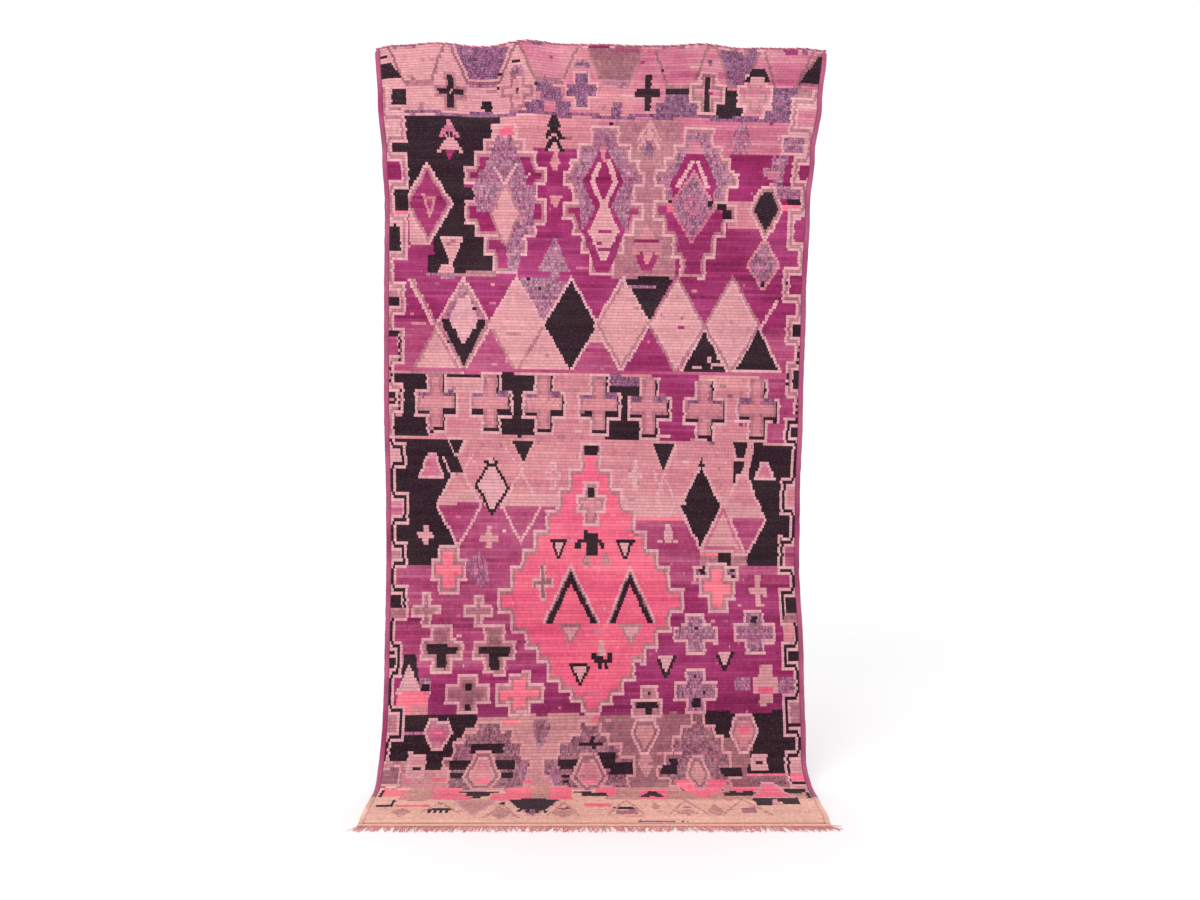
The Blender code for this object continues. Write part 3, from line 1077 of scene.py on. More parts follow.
def chart_lattice_band(chart):
    """A row of tall lozenges that touch, with triangles above and below."""
    for x, yarns in (
        (19.6, "magenta"), (40.2, "magenta"), (60.4, "lavender"), (80.6, "magenta"), (99.8, "black"),
        (121.6, "magenta"), (141.8, "magenta"),
    ):
        chart.tapers((yarns, (x, 72.0, 86.0, 9.6, 0.3)))
    for x, yarns in (
        (19.8, "taupe blush"), (40.4, "mauve"), (60.6, "blush"), (80.4, "mauve"), (100.6, "magenta"),
        (121.8, "pale black"), (142, "pale black"),
    ):
        chart.tapers((yarns, (x, 86.6, 101.4, 0.3, 9.9)))
    chart.tapers(("blush", (80.4, 86.6, 92, 0.3, 3.8)))
    for x, yarns in (
        (30.2, "pale taupe lavender"), (50.3, "pale blush"), (70.8, "pale black"),
        (90.4, "pale taupe blush"), (111, "taupe pale blush"), (132, "taupe pale blush"),
    ):
        chart.lozenges((yarns, (x, 86.2, 11.0, 15.5)))
    chart.tapers(
        ("pale", (30.4, 77.5, 86.4, 1.8, 6.5)),
        ("taupe black", (30.4, 85, 100.4, 9.8, 0.4)),
        ("pale", (30.4, 84.6, 92.5, 5.2, 0.3)),
        ("black", (30.4, 84.6, 86, 8.2, 7.4)),
        ("pale", (30.4, 84, 87.2, 5.4, 4.4)),
    )
    chart.strokes(
        ("pale", (10.2, 72, 19.6, 86.5, 2.4), (149, 79, 142.5, 88, 1.4)),
        ("taupe", (10.8, 72, 20.2, 86.5, 1), (60, 87, 51, 100.4, 1.3), (41.6, 88, 50, 100.4, 1.2)),
        ("blush", (91.6, 74.6, 99, 86, 1.2)),
    )
    chart.blocks(
        ("black", (96, 71.6, 108, 73), (91.5, 72.8, 108, 74.2), (53.8, 71.8, 55.2, 73),
         (58.6, 74.4, 59.8, 75.6), (33.6, 81, 34.8, 82.2), (24, 90.8, 25.2, 91.8)),
        ("lavender", (92.4, 74.2, 103, 75)),
        ("pale", (117.5, 98.4, 121, 99.5), (124.5, 98.4, 129, 99.5), (123, 96.2, 124.4, 97.5),
         (126.4, 96.2, 127.8, 97.5)),
        ("magenta", (111.4, 86.6, 114, 87.6)),
        ("pink", (40.2, 79, 42.4, 79.9)),
        ("rose", (10.5, 84.9, 16, 85.9)),
        ("mauve", (2, 100.4, 160, 101.4)),
    )
    chart.hexagons(("rose lavender", (143.3, 60.2, 68, 75.8, 1, 6.6, 0.5)))
    chart.blocks(("black", (142.8, 72.6, 143.9, 74.4)))


def chart_cross_band(chart):
    """A row of outlined crosses between dark blocks."""
    chart.blocks(
        ("black", (3, 101.4, 17, 106), (7, 105.8, 12, 114.2), (3, 114, 17, 120),
         (43.5, 101.4, 58.6, 106.4), (48.5, 106, 54, 115.2), (43.5, 115, 59, 120.4)),
        ("plum", (84.5, 102, 98.8, 105.8)),
        ("black", (84.5, 105.6, 98.8, 107.8), (89, 107.5, 95, 116.2), (84.5, 115.8, 99, 122),
         (22.6, 101.6, 38.4, 102.8)),
        ("blush", (23.4, 102.8, 38, 107.4)),
        ("magenta", (135.4, 116.6, 137, 117.5), (138.2, 116.6, 140, 117.5)),
        ("pale", (104.5, 120.2, 109.5, 121)),
    )
    for x, y in (
        (20.2, 110.4), (40.9, 110.6), (61.2, 110.8), (82.3, 111.2), (101.4, 112), (122.6, 112.8),
        (142.6, 112.8),
    ):
        chart.crosses(
            ("pale", (x, y, 3.9, 9.6, 4.1, 8.4)),
            ("black", (x, y, 2.9, 8.9, 3.2, 7.4)),
            ("taupe", (x - 0.3, y - 0.7, 2.6, 8.6, 2.7, 7.1)),
            ("rose", (x - 0.2, y - 0.4, 1.3, 8, 1.7, 6.2)),
        )
        for start in (x - 6.6, x + 2.6):
            chart.blocks(("plum", (start, y - 3.6, start + 3.8, y - 2.1)))


MEDALLION_PLACE = 79.0
LARGE_MEDALLION = (
    (122.6, 131, 4.2), (130.4, 137.4, 8.6), (136.8, 143.4, 12.6), (142.8, 149.2, 17.4),
    (148.8, 155.4, 21.9), (154.8, 160.4, 26.6), (160, 167.8, 31), (167.2, 174.8, 36),
    (174.4, 181.2, 30.8), (180.8, 186.6, 25.4), (186.2, 190.8, 21), (190.4, 195.8, 17),
    (195.4, 199.8, 12.6), (199.4, 202.8, 8.2), (202.4, 205.6, 3.8),
)


def chart_parted(chart, shape, blush_from, mauve_from):
    """Ties a figure that is rose, then blush, then mauve on its way down."""
    chart.paint(shape, "pale mauve")
    upper = inset(shape) & (chart.row < mauve_from)
    chart.paint(upper, "rose")
    chart.paint(upper & (chart.row > blush_from), "blush")


def chart_centre_band(chart):
    """A large stepped medallion with crosses and lozenges either side of it."""
    chart.blocks(
        ("black", (7.5, 121.6, 27, 154.2), (7.5, 154, 20.6, 160.2), (133.8, 122.7, 160, 154),
         (139.8, 153.6, 152, 160.4)),
    )
    for x, half, reach in ((28.2, 9.2, 13.4), (52.2, 8.2, 11.6)):
        chart_parted(chart, chart.lozenge(x, 142, half, reach), 138, 142)
    chart.lozenges(("pale black", (121.6, 142.4, 8.8, 14.4)))
    chart_parted(chart, chart.hexagon(137.8, 130.8, 146.5, 158, 1, 9.2, 2), 141, 145)
    chart.blocks(
        ("coral", (121.6, 156.6, 139.6, 158)),
        ("taupe", (121.6, 157.8, 139.6, 160.6)),
        ("pale", (108.5, 147.2, 110.1, 149.2), (105.2, 152.6, 107.2, 153.6),
         (111.4, 152.6, 113.4, 153.6)),
    )
    chart.tapers(("pale pink blush", (130.2, 140.8, 157.2, 0.3, 9.4)))
    chart.blocks(("black", (128.6, 156.6, 133.4, 160.2)))
    chart.lozenges(("black pale", (41.1, 136, 6.8, 9.2)))
    chart.tapers(
        ("pale", (27.4, 121.2, 126.6, 3.6, 0.8), (109.3, 148.6, 151.4, 0.8, 2.1),
         (109.3, 151.2, 153.6, 2.1, 1)),
        ("black", (27.4, 121.6, 126.2, 2.9, 0.3), (27.6, 127, 131.4, 0.4, 2.4)),
        ("blush", (53.2, 121.4, 128.6, 5, 0.8), (106.8, 122.2, 131, 5, 0.8),
         (137.4, 122, 133.2, 4.4, 2.4)),
        ("black", (53.2, 122, 127.8, 4.2, 0.4), (106.9, 122.8, 130.2, 4.2, 0.4),
         (121.7, 127.4, 130.4, 0.4, 1.4), (136.4, 122.2, 127.3, 3, 1.4), (136, 128.1, 132.2, 2.4, 0.8)),
        ("pale pink", (17.8, 126.2, 133.6, 1.9, 5.2), (146, 128, 134.4, 1.3, 4.6)),
    )
    chart.strokes(
        ("pale", (103, 130.6, 107.8, 139, 0.9), (111.8, 122.4, 104.4, 139.6, 0.9),
         (104.6, 139.6, 108.6, 147, 0.9), (111.8, 140.2, 108.6, 147, 0.9),
         (107.8, 133, 111.8, 140.4, 0.9), (34.6, 125.6, 30.4, 131, 0.9), (31.4, 121.6, 28.2, 127, 0.9),
         (22.6, 127.4, 25.6, 132.4, 0.9), (46, 124, 53, 131, 0.9), (115.4, 140.4, 112, 138.6, 2.6)),
    )
    chart.crosses(
        ("pale rose", (64.6, 132.8, 1.3, 4.7, 1.5, 3.1)),
        ("pale", (96.2, 132.6, 0.9, 4.9, 1.1, 2.5)),
        ("black", (41, 128.6, 1, 1.6, 0.8, 2.6)),
    )
    chart.blocks(
        ("pale", (40.1, 127.6, 41.9, 129.4), (112.4, 140, 115.8, 142)),
        ("coral", (80, 145.4, 114, 146.6)),
    )
    chart.paint(chart.steps(MEDALLION_PLACE, 165, LARGE_MEDALLION), "pale taupe hot")
    chart.blocks(("black", (76.4, 123.6, 81.8, 126.8)))
    chart_centre_figures(chart)
    chart_left_figures(chart)
    chart_right_figures(chart)


def chart_chevron(chart, x, top, bottom, half):
    """An open chevron of nested peaks, each (how far under the first, yarn)."""
    spread = half / (bottom - top)
    for drop, yarn in ((0.0, "pale"), (1.7, "umber"), (2.8, "black"), (6.4, "hot")):
        peak = chart.taper(x, top + drop, bottom, 0.2, spread * (bottom - top - drop))
        chart.paint(peak, yarn)


def chart_centre_figures(chart):
    """The figures inside the large medallion."""
    chart.crosses(
        ("pale taupe rose", (79.3, 141.4, 3, 6.8, 2.7, 5.7)),
        ("pale", (60.6, 165.8, 1.3, 5.6, 1.6, 4.2)),
        ("umber", (60.6, 165.8, 0.7, 5, 0.9, 3.4)),
    )
    for x, bottom, half in ((66.8, 158.4, 3.6), (92.4, 158.6, 3.6), (74.6, 197.2, 4.4)):
        chart.tapers(("black blush", (x, bottom - 6.2, bottom, half, 0.5)))
    chart_chevron(chart, 71.5, 159.8, 178.2, 11.2)
    chart_chevron(chart, 94.4, 160.0, 178.6, 9.9)
    chart.tapers(
        ("taupe blush", (71.2, 178.2, 184.8, 4.8, 0.5), (94.2, 178.2, 184.8, 4.8, 0.5)),
        ("blush", (82.9, 183, 188, 0.5, 1.8)),
        ("taupe", (77.6, 156.6, 160.2, 0.4, 1.8), (85.2, 156.8, 160.4, 0.4, 1.8)),
    )
    chart.blocks(
        ("black", (78.2, 136.4, 80.6, 139.2), (76.3, 150, 81.9, 152.8), (74.2, 152.4, 84, 153.8),
         (73.2, 153.6, 75.6, 155.4), (77.6, 153.4, 82, 157), (83, 153.4, 84.6, 155.4),
         (79.1, 187, 81, 189.6), (84.9, 187, 86.8, 189.6), (79.1, 188.6, 86.8, 189.8),
         (81.6, 189.2, 83, 191.8), (83.8, 189.2, 85.2, 191.8)),
        ("hot", (79.6, 206, 81.6, 207.6)),
    )


def chart_left_figures(chart):
    """The figures left of the large medallion."""
    for x, top, bottom in ((32, 158, 165), (34, 157, 166), (36, 156.6, 167), (38, 158, 166)):
        chart.strokes(("lavender", (x, top, x + 1.4, bottom, 1.5)))
    chart.crosses(
        ("blush", (15.4, 150.8, 1, 2.9, 1, 3), (39.8, 151.7, 1, 3.4, 1, 3.7)),
        ("pale taupe coral", (24.3, 161.8, 4.1, 7.5, 3.7, 6.9), (51.8, 199.6, 4.3, 6.5, 3.4, 9.2)),
        ("pale taupe", (15.8, 174.2, 1.9, 5.2, 1.9, 5.6), (35.8, 174.2, 1.9, 5.2, 1.9, 5.6)),
        ("pale taupe umber", (21.9, 186.3, 4.2, 7.5, 3.2, 8.2), (42, 186.3, 4.2, 7.5, 3.2, 8.2),
         (32, 199.7, 3.9, 6.3, 3.1, 8.6)),
    )
    for x in (21.9, 42.0):
        chart.blocks(("black", (x - 5.8, 185.2, x + 5.8, 187.8)))
        chart.blocks(("black", (x - 1.8, 185.0, x + 1.8, 192.2)))
    chart.tapers(("black", (9.9, 188, 196, 2.2, 3.6)), ("coral", (9.8, 198, 206, 3.6, 6)))
    chart.blocks(
        ("black", (31, 197, 33.6, 198.8), (31, 202.8, 33.4, 204.8)),
        ("lavender", (13.4, 195, 17.8, 201.4)),
        ("coral", (7, 199, 17, 206)),
        ("rose", (10, 203, 17, 206)),
        ("black", (14.2, 197, 17.6, 198.8)),
    )
    chart.tapers(("pale", (9.6, 191.4, 199.4, 0.4, 5)))


def chart_right_figures(chart):
    """The figures right of the large medallion."""
    for x in (121.8, 133.8):
        chart.blocks(("pale lavender", (x - 3.0, 160.4, x + 2.8, 165.0)))
        chart.blocks(("black", (x - 0.8, 161.2, x + 1.4, 162.3)))
        chart.blocks(("black", (x - 0.2, 163.0, x + 1.4, 164.2)))
    chart.crosses(
        ("pale taupe coral", (127.9, 167.4, 3.9, 7.8, 3.5, 7)),
        ("blush", (143.6, 168.4, 1, 5.1, 1.3, 3.4), (145.4, 196.8, 2.6, 6.2, 2.6, 5)),
        ("pale lavender", (118.9, 181.6, 3.8, 6.7, 2.9, 8.5), (141.5, 181.2, 3.8, 6.9, 3, 8),
         (118.6, 199, 3.8, 6.7, 2.9, 8.3)),
    )
    for x, top, bottom, half in ((107.4, 188.6, 195.2, 4.0), (129.9, 187.4, 192.8, 3.8)):
        chart.tapers(("black", (x, top, bottom, half, 0.5)))
        chart.tapers(("pale", (x, top - 0.6, bottom - 1.8, half - 1.0, 0.3)))
    chart.blocks(
        ("black", (140.4, 175.8, 142.6, 178.4), (118.2, 179, 120, 180.2), (117.3, 200.8, 120.6, 203.4),
         (117.8, 193.8, 119, 194.8), (121.4, 199.2, 122.6, 200.2)),
        ("lavender", (133.6, 194.4, 139.6, 198.6)),
        ("hot", (142.6, 197.2, 147.8, 199.6)),
        ("pale taupe", (97.4, 196.8, 104.2, 201.6), (94.2, 200.6, 106.2, 206.4)),
        ("black", (96, 202, 104.4, 203.9), (99.4, 203.6, 102.2, 205.6), (100.4, 198.6, 101.6, 199.8)),
    )


LEFT_HALF_MEDALLION = (
    (206.4, 210, 5.2), (209.6, 213.8, 9.4), (213.4, 218.2, 13.2), (217.8, 222.4, 16.8),
    (222, 230.6, 14.6),
)
MIDDLE_HALF_MEDALLION = (
    (207, 210.9, 4.4), (210.5, 213.6, 7.6), (213.2, 217.8, 12.2), (217.4, 224.6, 17.4),
    (224.2, 229, 14.6),
)
RIGHT_HALF_MEDALLION = (
    (204.6, 208.8, 2.8), (208.4, 211.8, 6.6), (211.4, 216.8, 9.8), (216.4, 221.4, 12.6),
    (221, 225.4, 15.4), (225, 228, 11.6), (227.6, 231, 8.4), (230.6, 233.4, 5.4), (233, 236.4, 2.8),
)


def chart_vase_band(chart):
    """Stepped half medallions with vases, between hexagons."""
    chart.blocks(
        ("black", (8.5, 205.8, 35.6, 209.4), (8.5, 209.2, 31.6, 212.2), (3.4, 212, 28.6, 219.6)),
        ("pale blush", (10.6, 216.6, 17.6, 224.6)),
        ("black", (12.8, 220.6, 15.8, 221.8), (17.6, 219.4, 24.4, 221.8), (121.9, 204.8, 152, 211),
         (125.6, 210.8, 152, 212.2), (140, 212.4, 157, 216.2), (139, 215.8, 152, 223.4),
         (137.4, 220.4, 152, 222.8)),
        ("lavender", (8.5, 210.6, 17.5, 211.5)),
        ("coral", (38, 207, 52, 208.2)),
        ("rose", (42, 208.8, 50, 209.6)),
    )
    for x, table in (
        (40.4, LEFT_HALF_MEDALLION),
        (78.6, MIDDLE_HALF_MEDALLION),
        (119.2, RIGHT_HALF_MEDALLION),
    ):
        chart.paint(chart.steps(x, 216, table), "blush dusk")
    chart.tapers(("coral", (119.4, 224.4, 236, 10.6, 1)))
    chart.blocks(
        ("hot", (109.6, 224.6, 129, 225.8), (10, 225, 26, 225.9)),
        ("black", (34, 214, 46.4, 217.2), (26.4, 218.8, 34.6, 221.8), (42.2, 218.8, 51, 221.8),
         (27.2, 223, 32, 224.6), (45.8, 223, 50.4, 224.4), (74.4, 213.4, 83.6, 214.5),
         (79, 212, 80.4, 215.6), (67, 218.4, 75.4, 221.8), (82.2, 216.8, 88.6, 221.8),
         (86, 219.2, 95, 223.4), (68.4, 223.2, 72.4, 224.4), (68.8, 225.2, 71, 226.2),
         (108.6, 218.2, 111.8, 221.6), (105.6, 220.6, 111.8, 223.4), (127.6, 220.8, 135.4, 223.4)),
        ("lavender", (53, 221, 55.6, 226), (64, 221, 67.6, 226)),
        ("pale blush", (139.2, 216.8, 145.4, 221.8)),
        ("black", (141.2, 219, 143.4, 220.1)),
        ("coral", (137.2, 222.6, 158, 223.8)),
        ("dusk", (137.2, 223.8, 152, 227)),
        ("hot", (54, 225, 62, 225.9)),
    )
    for x, top, widest, bottom, half_top, half, half_bottom, yarns in (
        (21.3, 206.8, 210.8, 216.6, 3.6, 5.8, 1.8, "pale taupe pink"),
        (60.1, 207.4, 209.6, 215.6, 2.6, 3.4, 0.8, "lavender dusk"),
        (99.4, 206.8, 210.8, 217.2, 3.9, 5.6, 1.8, "pale umber beige"),
        (136.6, 205.4, 210.6, 217, 3.2, 5.8, 1.6, "pale taupe rose"),
        (99.8, 217.6, 219.8, 224.4, 2, 2.8, 0.6, "beige"),
        (38.8, 215.4, 224, 229.8, 2.7, 7.4, 2.8, "blush umber blush rose"),
        (78.7, 215.8, 224, 229.8, 2.6, 7.2, 2.8, "blush umber blush rose"),
        (119, 216.6, 224, 229.4, 2, 4.8, 0.8, "blush umber beige"),
    ):
        chart.hexagons((yarns, (x, top, widest, bottom, half_top, half, half_bottom)))
    chart.blocks(
        ("hot", (134.2, 209, 139.2, 210.6)),
        ("coral", (19.4, 210.8, 23.2, 211.8), (36, 224.8, 41.6, 226), (76, 224.8, 81.4, 226)),
    )


def chart_last_band(chart):
    """The part that lies on the floor: coral patches, sandy figures and faint triangles."""
    chart.blocks(
        ("coral", (3.6, 228.8, 14, 234.4), (10.6, 232, 14.6, 237), (19, 227.6, 32, 236.8),
         (27, 231.8, 36, 236.4), (43, 231.4, 52, 237.4), (48, 227.6, 72, 236.6),
         (80.6, 227.6, 88, 233.4), (96.4, 229.2, 106.4, 236.4), (130.4, 227.4, 139.6, 231.4),
         (9.8, 240.4, 22.4, 242.2), (76.4, 238.8, 86, 241.8)),
        ("sand", (57.4, 227, 64, 236.6)),
        ("black", (31, 229.9, 45.6, 231.2), (34, 231, 42.4, 234), (36.2, 233.8, 39.6, 236),
         (72.4, 229.8, 79, 231), (75.6, 231, 84.6, 233.8), (22.4, 243, 30.8, 245),
         (3.4, 240.8, 9.2, 242), (8.6, 236.6, 9.6, 242), (3, 229, 4, 235), (25, 238.6, 26.8, 240.4),
         (46.8, 238.2, 48.6, 240.2), (86.4, 242.2, 94, 243.9), (126.6, 230.4, 138.6, 233.4),
         (128.8, 229.4, 131.2, 231.4), (134, 229.4, 137.6, 231.4), (136.2, 234.6, 152.6, 238.4),
         (137, 238, 143.4, 241), (146.4, 238, 152.4, 240.4), (148.6, 228.4, 156.8, 231.2),
         (156.4, 230.8, 157.8, 235)),
        ("wine", (67.4, 242.4, 71.6, 243.8)),
        ("plum", (111.2, 242, 113.6, 243.2), (95, 252.3, 107.6, 253.7), (109.4, 252.3, 110.4, 253.5),
         (111.6, 252.3, 112.4, 253.5)),
    )
    chart.tapers(
        ("sand", (16.8, 227.8, 232.4, 3, 6.6), (16.8, 232.2, 237.6, 6.6, 3.4)),
        ("pale sand", (38.2, 236, 249.6, 8.4, 0.6)),
        ("pale dusk", (58.6, 236, 250.4, 10.2, 0.4)),
        ("black", (58.6, 235.8, 244.8, 9, 4.4), (101, 230, 234.8, 1.4, 5)),
        ("coral", (101, 233.2, 235.4, 0.4, 1.6)),
        ("pale coral", (144.2, 225.8, 235, 2.6, 8.4)),
        ("blush", (144.2, 236.2, 241.4, 0.6, 2.2)),
    )
    for x, top, bottom, half in (
        (91, 236.5, 248, 6.2), (112.4, 237, 248.5, 7), (132.4, 236, 248.5, 8.6), (26.4, 238, 247, 6.4),
        (69.4, 238.2, 248.6, 5.4), (48, 240, 251, 6),
    ):
        for side in (-1, 1):
            chart.strokes(("sand", (x, top, x + side * half, bottom, 1.1)))
    for x, top, widest, bottom, half in (
        (122, 240, 246, 248.6, 3.2), (47.8, 243, 246.4, 252, 4), (69.4, 244, 246.6, 250, 4.6),
        (13.4, 243.4, 246, 250, 3.6), (112.4, 244, 247, 248.6, 4.6), (101.4, 239, 242, 244.4, 1.6),
    ):
        chart.hexagons(("sand", (x, top, widest, bottom, 0.5, half, 0.5)))
    chart.blocks(("taupe", (87.4, 244.4, 95, 247.8), (131, 243, 136, 246.6)))
    for start, end, pitch, half, top, bottom in (
        (23, 31, 2, 0.6, 244.8, 246.4), (54, 65, 3, 0.7, 244.6, 246.6),
    ):
        for x in range(start, end, pitch):
            chart.blocks(("black", (x - half, top, x + half, bottom)))


def beside(chart, side, top, bottom, reach):
    """A block that reaches in from the left or right edge of the rug."""
    if side == "left":
        return chart.block(-3, top, reach, bottom)
    return chart.block(COLUMNS - reach, top, COLUMNS + 3, bottom)


def chart_border(chart, side, top, bottom, ribbon, teeth):
    """A ribbon down one side that steps out round its teeth, each (top, bottom, reach, filling)."""
    shape = beside(chart, side, top, bottom, 3.9)
    for tooth_top, tooth_bottom, reach, _ in teeth:
        shape |= beside(chart, side, tooth_top, tooth_bottom, reach)
    chart.paint(shape, ribbon)
    width = len(ribbon.split())
    for tooth_top, tooth_bottom, reach, filling in teeth:
        inner = beside(chart, side, tooth_top + width, tooth_bottom - width, reach - width + 0.3)
        chart.paint(inner, filling)


def chart_stitches(chart, table):
    """Ties rows of short black dashes down the cloth, each (x, top, bottom, pitch)."""
    for x, top, bottom, pitch in table:
        for dash in np.arange(top, bottom, pitch):
            chart.blocks(("black", (x - 0.5, dash, x + 0.5, dash + 0.6 * pitch)))


def chart_left_border(chart):
    """The left border: a ribbon round dark, plain and heathered teeth."""
    chart.blocks(
        ("black", (1, 44.4, 9, 51.6), (1, 121.6, 9, 160.2), (4, 30.4, 9.8, 33.4)),
        ("coral", (1, 51.4, 9, 53)),
        ("blush", (1, 10.6, 9, 12)),
        ("pale taupe", (1, 18.6, 9.6, 20.8)),
    )
    teeth = (
        (21, 30.4, 9.8, "blush"), (33.3, 44.3, 9.6, "berry"), (52.6, 66.5, 8.9, "black"),
        (72.5, 83.4, 8.3, "taupe"), (87, 98.4, 7.9, "mauve"), (104, 113.9, 7.5, "black"),
    )
    chart_border(chart, "left", 11.2, 121.0, "pale taupe pale", teeth)
    teeth = (
        (122.4, 130.2, 8.2, "blush"), (137.5, 147.2, 8.9, "pink"), (152.7, 161, 8.2, "taupe"),
        (166.4, 177.6, 8.9, "black"), (183.8, 195.2, 6.9, "black"), (203.2, 213.8, 8.4, "taupe"),
    )
    chart_border(chart, "left", 121.6, 220.0, "pale black pale", teeth)
    teeth = ((219.6, 228.6, 9.8, "umber"),)
    chart_border(chart, "left", 219.6, 228.6, "taupe pale", teeth)
    chart.blocks(
        ("pale", (1, 24.4, 7, 25.4), (1, 188.2, 5, 189.2)),
        ("black", (1, 77.9, 6, 80.4), (1, 87.8, 6, 89.4)),
        ("taupe", (1, 108.6, 4, 109.6), (1, 174, 7.9, 176.6)),
        ("peach", (3.9, 228, 8, 229)),
    )
    chart_stitches(chart, ((6.1, 90, 97, 2.0), (2.6, 97, 104, 2.0), (6.1, 106, 112, 1.8)))


def chart_right_border(chart):
    """The right border, in the same manner."""
    chart.blocks(
        ("taupe", (151, 13, 157.6, 16)),
        ("pale lavender", (147, 27.4, 156.4, 34)),
        ("lavender", (147, 43.4, 157, 48), (150, 194.2, 157, 199.8)),
        ("black", (151.2, 47.9, 157.2, 49.3), (149.6, 211.6, 157, 216.4)),
        ("coral", (149.6, 49.2, 157.2, 50.8)),
    )
    teeth = (
        (16.2, 27.5, 11.2, "pink"), (34, 44.3, 8.3, "berry"), (50.7, 63.7, 8.4, "magenta"),
        (68.7, 79.6, 9.2, "magenta"), (83.3, 92.7, 7.6, "black"), (97.2, 108.8, 6.8, "black"),
    )
    chart_border(chart, "right", 13.0, 114.0, "pale taupe pale", teeth)
    teeth = (
        (114.6, 123.9, 7.2, "black"), (133.3, 145.2, 7.8, "rose"), (151, 163.6, 8.4, "mauve"),
        (167.2, 179.2, 8.6, "black"), (183.9, 192.6, 8.4, "black"), (199.4, 212, 8.4, "taupe"),
        (215.9, 228.4, 8.2, "blush"),
    )
    chart_border(chart, "right", 114.0, 229.0, "pale black pale", teeth)
    chart.blocks(
        ("pale", (151.8, 160, 157.2, 161.2)),
        ("taupe", (152.6, 175.4, 159, 178.2)),
        ("rose", (152.4, 178.9, 156.8, 184)),
        ("black", (153, 207.9, 158, 209.3), (152.2, 73.2, 153, 74.2)),
        ("coral", (153, 223, 158, 226)),
    )
    chart_stitches(chart, ((157.6, 92.6, 98, 1.6), (157.6, 108.6, 115, 2.0), (153.9, 101, 105, 1.5)))


STRAYS = {
    "blush": ("rose", "umber", "taupe"),
    "rose": ("taupe", "pale", "umber"),
    "pink": ("magenta", "pale", "rose"),
    "hot": ("coral", "coral", "pink"),
    "coral": ("blush", "hot"),
    "magenta": ("pink", "rose", "mauve", "wine", "wine"),
    "berry": ("magenta", "pink", "wine"),
    "mauve": ("pale", "magenta", "pink", "taupe"),
    "wine": ("mauve", "pink", "magenta"),
    "lavender": ("dusk", "pale", "plum"),
    "plum": ("dusk", "mauve"),
    "dusk": ("umber", "pale", "umber"),
    "umber": ("rose", "taupe"),
    "beige": ("rose", "umber"),
    "peach": ("sand", "blush"),
}


def chart_strays(chart, count):
    """Single knots and short lengths tied in the wrong yarn, as hand work has them."""
    rows, columns = chart.yarns.shape
    names = {number: name for name, number in NUMBER.items()}
    for _ in range(count):
        row = chart.random.integers(4, rows - 4)
        column = chart.random.integers(12, columns - 24)
        length = min(1 + int(chart.random.exponential(2.4)), 14)
        ground = names[int(chart.yarns[row, column])]
        if ground in STRAYS:
            yarn = STRAYS[ground][chart.random.integers(len(STRAYS[ground]))]
            run = chart.yarns[row, column : column + length]
            run[run == NUMBER[ground]] = NUMBER[yarn]


def drawn_chart():
    """The whole pattern, as a yarn number for each row and column of knots."""
    chart = Chart(np.random.default_rng(SEED))
    chart_grounds(chart)
    chart_first_band(chart)
    chart_medallion_band(chart)
    chart_lattice_band(chart)
    chart_cross_band(chart)
    chart_centre_band(chart)
    chart_vase_band(chart)
    chart_last_band(chart)
    chart_strays(chart, 420)
    chart_left_border(chart)
    chart_right_border(chart)
    return chart.yarns


# How a knot's colour varies: from knot to knot, along a hank of yarn, down the cloth, from row to row.
SPECKLE = 0.8
SPECKLE_STREAK = 0.5
SPECKLE_PLAIN = 0.05
SPECKLE_HEATHERED = 0.31
HANK_REACH = 28
HANK_DRIFT = 0.8
DYE_REACH = 5
DYE_ROWS = 61
DYE_DRIFT = 0.8
ROW_TONE = 0.35
PALEST = 1.7
DARKEST = 0.45
ROSIER = (-0.2, 1.6, 0.3)


def knot_colours(yarns):
    """The colour and heather amount of each knot: its yarn, uneven from knot to knot and row to row."""
    random = np.random.default_rng(SEED)
    table = np.array([[*yarn_colour(yarn.name), yarn.heather] for yarn in YARNS])
    uneven = np.array([yarn.uneven for yarn in YARNS])[yarns]
    colours = table[yarns]
    knot = random.normal(0.0, SPECKLE, yarns.shape) + streaks(random, yarns.shape, 1, SPECKLE_STREAK)
    knot *= SPECKLE_PLAIN + SPECKLE_HEATHERED * colours[..., 3]
    hank = streaks(random, yarns.shape, HANK_REACH, HANK_DRIFT)
    dye = streaks(random, yarns.T.shape, DYE_REACH, 1.0).T
    dye = np.array([np.convolve(row, np.ones(DYE_ROWS) / DYE_ROWS, mode="same") for row in dye])
    drift = (hank + dye / dye.std() * DYE_DRIFT) * uneven
    row_tone = drifting(random, len(yarns), 1, ROW_TONE)[:, None]
    tone = np.clip(1 + knot + drift + row_tone * uneven, DARKEST, PALEST)
    colours[..., :3] *= tone[..., None]
    pinkness = (colours[..., 2] - colours[..., 1]) / colours[..., 0]
    rosier = np.clip(drift, -0.2, 0.2) * np.clip(8 * pinkness, 0.1, 1.0)
    colours[..., :3] *= 1 + rosier[..., None] * np.array(ROSIER)
    return colours


# The pieces.


# How far knots sway along their row, in knots, and how many columns one hidden face spans.
KNOT_SWAY = 0.10
COARSE = 6


